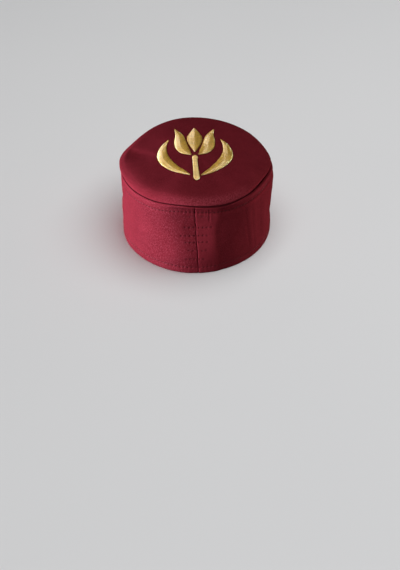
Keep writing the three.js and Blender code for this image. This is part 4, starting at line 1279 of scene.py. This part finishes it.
def gold_material():
    material, tree, shader = new_material("gold_embroidery_thread")
    links = tree.links
    uv = node(tree, "ShaderNodeUVMap", uv_map="weave").outputs[0]
    strand = node(tree, "ShaderNodeAttribute", attribute_name="strand").outputs["Fac"]
    ply = node(tree, "ShaderNodeTexWave", wave_type="BANDS", bands_direction="DIAGONAL", wave_profile="SIN")
    ply.inputs["Scale"].default_value = 0.8
    ply.inputs["Distortion"].default_value = 0.5
    links.new(stretch(tree, uv, (1.0, 1.3, 1)), ply.inputs["Vector"])
    drift = noise(tree, stretch(tree, uv, (0.2, 0.5, 1)), 1.0, 2.0, 0.5)
    # Neighbouring threads lie loose and tight in patches of about a millimetre.
    place = node(tree, "ShaderNodeTexCoord").outputs["Object"]
    patch = between(tree, noise(tree, place, 640.0, 2.0, 0.6), 0.38, 0.62, 0.0, 1.0)
    tone = math_node(tree, "ADD", math_node(tree, "MULTIPLY", strand, 0.52), math_node(tree, "MULTIPLY", ply.outputs[1], 0.08))
    tone = math_node(tree, "ADD", tone, math_node(tree, "MULTIPLY", drift, 0.10))
    tone = math_node(tree, "ADD", tone, math_node(tree, "MULTIPLY", patch, 0.30), clamp=True)
    colour = mix_colour(tree, tone, (0.26, 0.127, 0.008), (0.66, 0.384, 0.070))
    # The padding below the threads is a duller, darker yellow.
    core = between(tree, strand, -0.6, -0.2, 1.0, 0.0)
    colour = mix_colour(tree, core, colour, (0.30, 0.17, 0.04))
    links.new(colour, shader.inputs["Base Color"])
    links.new(between(tree, drift, 0.3, 0.7, 0.24, 0.34), shader.inputs["Roughness"])
    shader.inputs["Metallic"].default_value = 0.20
    shader.inputs["IOR"].default_value = 1.80
    shader.inputs["Specular IOR Level"].default_value = 1.0
    relief = node(tree, "ShaderNodeBump")
    relief.inputs["Strength"].default_value = 0.4
    relief.inputs["Distance"].default_value = 0.00007
    links.new(ply.outputs[1], relief.inputs["Height"])
    links.new(relief.outputs[0], shader.inputs["Normal"])
    return material


def floor_material():
    material, tree, shader = new_material("pale_floor")
    place = node(tree, "ShaderNodeTexCoord").outputs["Object"]
    mottle = noise(tree, place, 1.3, 3.0, 0.5)
    links = tree.links
    links.new(mix_colour(tree, mottle, (0.66, 0.665, 0.675), (0.72, 0.72, 0.725)), shader.inputs["Base Color"])
    shader.inputs["Roughness"].default_value = 0.9
    shader.inputs["Specular IOR Level"].default_value = 0.1
    return material


def backdrop_material():
    material, tree, shader = new_material("pale_backdrop")
    place = node(tree, "ShaderNodeTexCoord").outputs["Object"]
    mottle = noise(tree, place, 0.6, 3.0, 0.5)
    links = tree.links
    links.new(mix_colour(tree, mottle, (0.66, 0.665, 0.675), (0.72, 0.72, 0.725)), shader.inputs["Base Color"])
    height = node(tree, "ShaderNodeSeparateXYZ")
    links.new(place, height.inputs[0])
    shader.inputs["Emission Color"].default_value = (0.97, 0.98, 1.0, 1.0)
    glow = math_node(tree, "POWER", between(tree, height.outputs[2], 0.0, 0.5, 0.0, 1.0), 0.4)
    links.new(math_node(tree, "MULTIPLY", glow, 0.36), shader.inputs["Emission Strength"])
    shader.inputs["Roughness"].default_value = 0.9
    shader.inputs["Specular IOR Level"].default_value = 0.1
    return material


# ------------------------------------------------------------ the pieces

cloth = cloth_material()
sewing = sewing_thread_material()
gold = gold_material()

cap_pieces = []


def finish_piece(obj, material, replaces=()):
    fix_normals(obj)
    obj.data.materials.append(material)
    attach(obj, "root")
    if replaces:
        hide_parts(*replaces)
    cap_pieces.append(obj)
    return obj


finish_piece(make_band(), cloth, ["band"])
finish_piece(make_crown(), cloth, ["crown"])
finish_piece(make_row_stitching("top_stitching", TOP_ROW_UP, 0.15, 21), sewing)
finish_piece(make_row_stitching("hem_stitching", HEM_ROW_UP, 0.9, 22), sewing)
finish_piece(make_tacks(), sewing)
for number, motif in enumerate(MOTIFS):
    finish_piece(make_motif(motif, 100 + number), gold, [motif["node"]])

# ------------------------------------------------------------ floor and light

BACKDROP_START, BACKDROP_SWEEP, BACKDROP_TOP = 2.3, 1.3, 4.2      # metres

bpy.ops.mesh.primitive_plane_add(size=8.0, location=(0, 0, 0))
floor = bpy.context.object
floor.name = "studio_floor"
floor.data.materials.append(floor_material())


def make_backdrop():
    """A pale wall far round the floor that sweeps up from it, lit like it."""
    around, turn, wall = 96, 14, 5
    t = np.linspace(0, math.pi / 2, turn)
    r = np.concatenate([BACKDROP_START + BACKDROP_SWEEP * np.sin(t), np.full(wall, BACKDROP_START + BACKDROP_SWEEP)])
    z = np.concatenate([BACKDROP_SWEEP * (1 - np.cos(t)), np.linspace(BACKDROP_SWEEP, BACKDROP_TOP, wall + 1)[1:]])
    angle = np.arange(around) * 2 * math.pi / around
    points = np.stack([r[:, None] * np.cos(angle), r[:, None] * np.sin(angle),
                       z[:, None] + 0.001 + 0 * angle[None]], -1).reshape(-1, 3)
    k = np.arange(around)
    k1 = (k + 1) % around
    faces = [(i * around + a, (i + 1) * around + a, (i + 1) * around + b, i * around + b)
             for i in range(len(r) - 1) for a, b in zip(k.tolist(), k1.tolist())]
    mesh = bpy.data.meshes.new("studio_backdrop")
    mesh.from_pydata(points.tolist(), [], faces)
    mesh.shade_smooth()
    made = bpy.data.objects.new("studio_backdrop", mesh)
    bpy.context.scene.collection.objects.link(made)
    made.data.materials.append(backdrop_material())
    # It is only seen: it neither shades nor lights the cap or the floor.
    made.visible_diffuse = made.visible_glossy = made.visible_transmission = made.visible_shadow = False
    return made


backdrop = make_backdrop()

scene = bpy.context.scene
scene.view_settings.view_transform = "Standard"
scene.view_settings.look = "None"
scene.view_settings.exposure = 0.0
scene.view_settings.gamma = 1.0

world = bpy.data.worlds.new("studio_air")
world.use_nodes = True
world.node_tree.nodes["Background"].inputs[0].default_value = (1.0, 0.985, 0.97, 1.0)
world.node_tree.nodes["Background"].inputs[1].default_value = 0.02
scene.world = world

on_cap = bpy.data.collections.new("lit_cap")
for obj in cap_pieces:
    on_cap.objects.link(obj)
on_floor = bpy.data.collections.new("lit_floor")
on_floor.objects.link(floor)
on_floor.objects.link(backdrop)


def soft_light(name, place, aim, width, height, power, colour, only=None):
    data = bpy.data.lights.new(name, "AREA")
    data.shape = "RECTANGLE"
    data.size, data.size_y = width, height
    data.energy = power
    data.color = colour
    lamp = bpy.data.objects.new(name, data)
    lamp.location = place
    lamp.rotation_euler = (Vector(aim) - Vector(place)).to_track_quat("-Z", "Y").to_euler()
    scene.collection.objects.link(lamp)
    if only is not None:
        lamp.light_linking.receiver_collection = only
    return lamp


MIDDLE = Vector((SHIFT[0], SHIFT[1], 0.05))
soft_light("key_left", (2.0, 0.0, 0.06), MIDDLE, 0.6, 0.1, 40.0, (1.0, 1.30, 1.50), on_cap)
soft_light("key_front", (1.93, -0.5, 0.06), MIDDLE, 0.6, 0.1, 35.0, (1.0, 1.30, 1.50), on_cap)
soft_light("left_high", (1.5, 0.6, 0.95), MIDDLE, 0.8, 0.6, 44.0, (1.0, 1.05, 1.12), on_cap)
soft_light("left_near", (0.7, 0.2, 0.03), MIDDLE, 0.3, 0.04, 4.5, (1.0, 1.30, 1.50), on_cap)
soft_light("left_low", (0.62, 0.42, 0.03), MIDDLE, 0.3, 0.04, 2.8, (1.0, 1.16, 1.26), on_cap)
soft_light("top_back", (-0.1, 0.6, 1.3), MIDDLE, 0.5, 0.4, 9.7, (1.0, 1.1, 1.0), on_cap)
soft_light("fill_right", (-1.4, -0.5, 0.04), MIDDLE, 0.8, 0.06, 24.0, (1.0, 1.34, 1.16), on_cap)
soft_light("floor_wash", (-0.7, 0.3, 3.0), (-0.2, 0.0, 0.0), 4.0, 4.0, 130.0, (1.0, 1.0, 1.0), on_floor)

# ------------------------------------------------------------ camera

VIEW_ELEVATION = 33.0
VIEW_DISTANCE = 1.2
VIEW_PITCH = 3.5
VIEW_PAN = 0.09
VIEW_ROLL = -1.5


def place_camera():
    data = bpy.data.cameras.new("studio_camera")
    data.sensor_width = 36.0
    data.lens = 1020.0 * 36.0 / 570.0
    data.clip_start = 0.05
    data.clip_end = 30.0
    camera = bpy.data.objects.new("studio_camera", data)
    e, p, pan, roll = (math.radians(v) for v in (VIEW_ELEVATION, VIEW_PITCH, VIEW_PAN, VIEW_ROLL))
    place = Vector((0, VIEW_DISTANCE * math.cos(e), VIEW_DISTANCE * math.sin(e)))
    right = Vector((-1, 0, 0))
    up = Vector((0, -math.sin(e), math.cos(e)))
    ahead = -place.normalized()
    up, ahead = up * math.cos(p) + ahead * math.sin(p), ahead * math.cos(p) - up * math.sin(p)
    right, ahead = right * math.cos(pan) - ahead * math.sin(pan), ahead * math.cos(pan) + right * math.sin(pan)
    right, up = right * math.cos(roll) + up * math.sin(roll), up * math.cos(roll) - right * math.sin(roll)
    turn = Matrix((right, up, -ahead)).transposed().to_4x4()
    camera.matrix_world = Matrix.Translation(place + Vector((SHIFT[0], SHIFT[1], 0))) @ turn
    scene.collection.objects.link(camera)
    scene.camera = camera


place_camera()
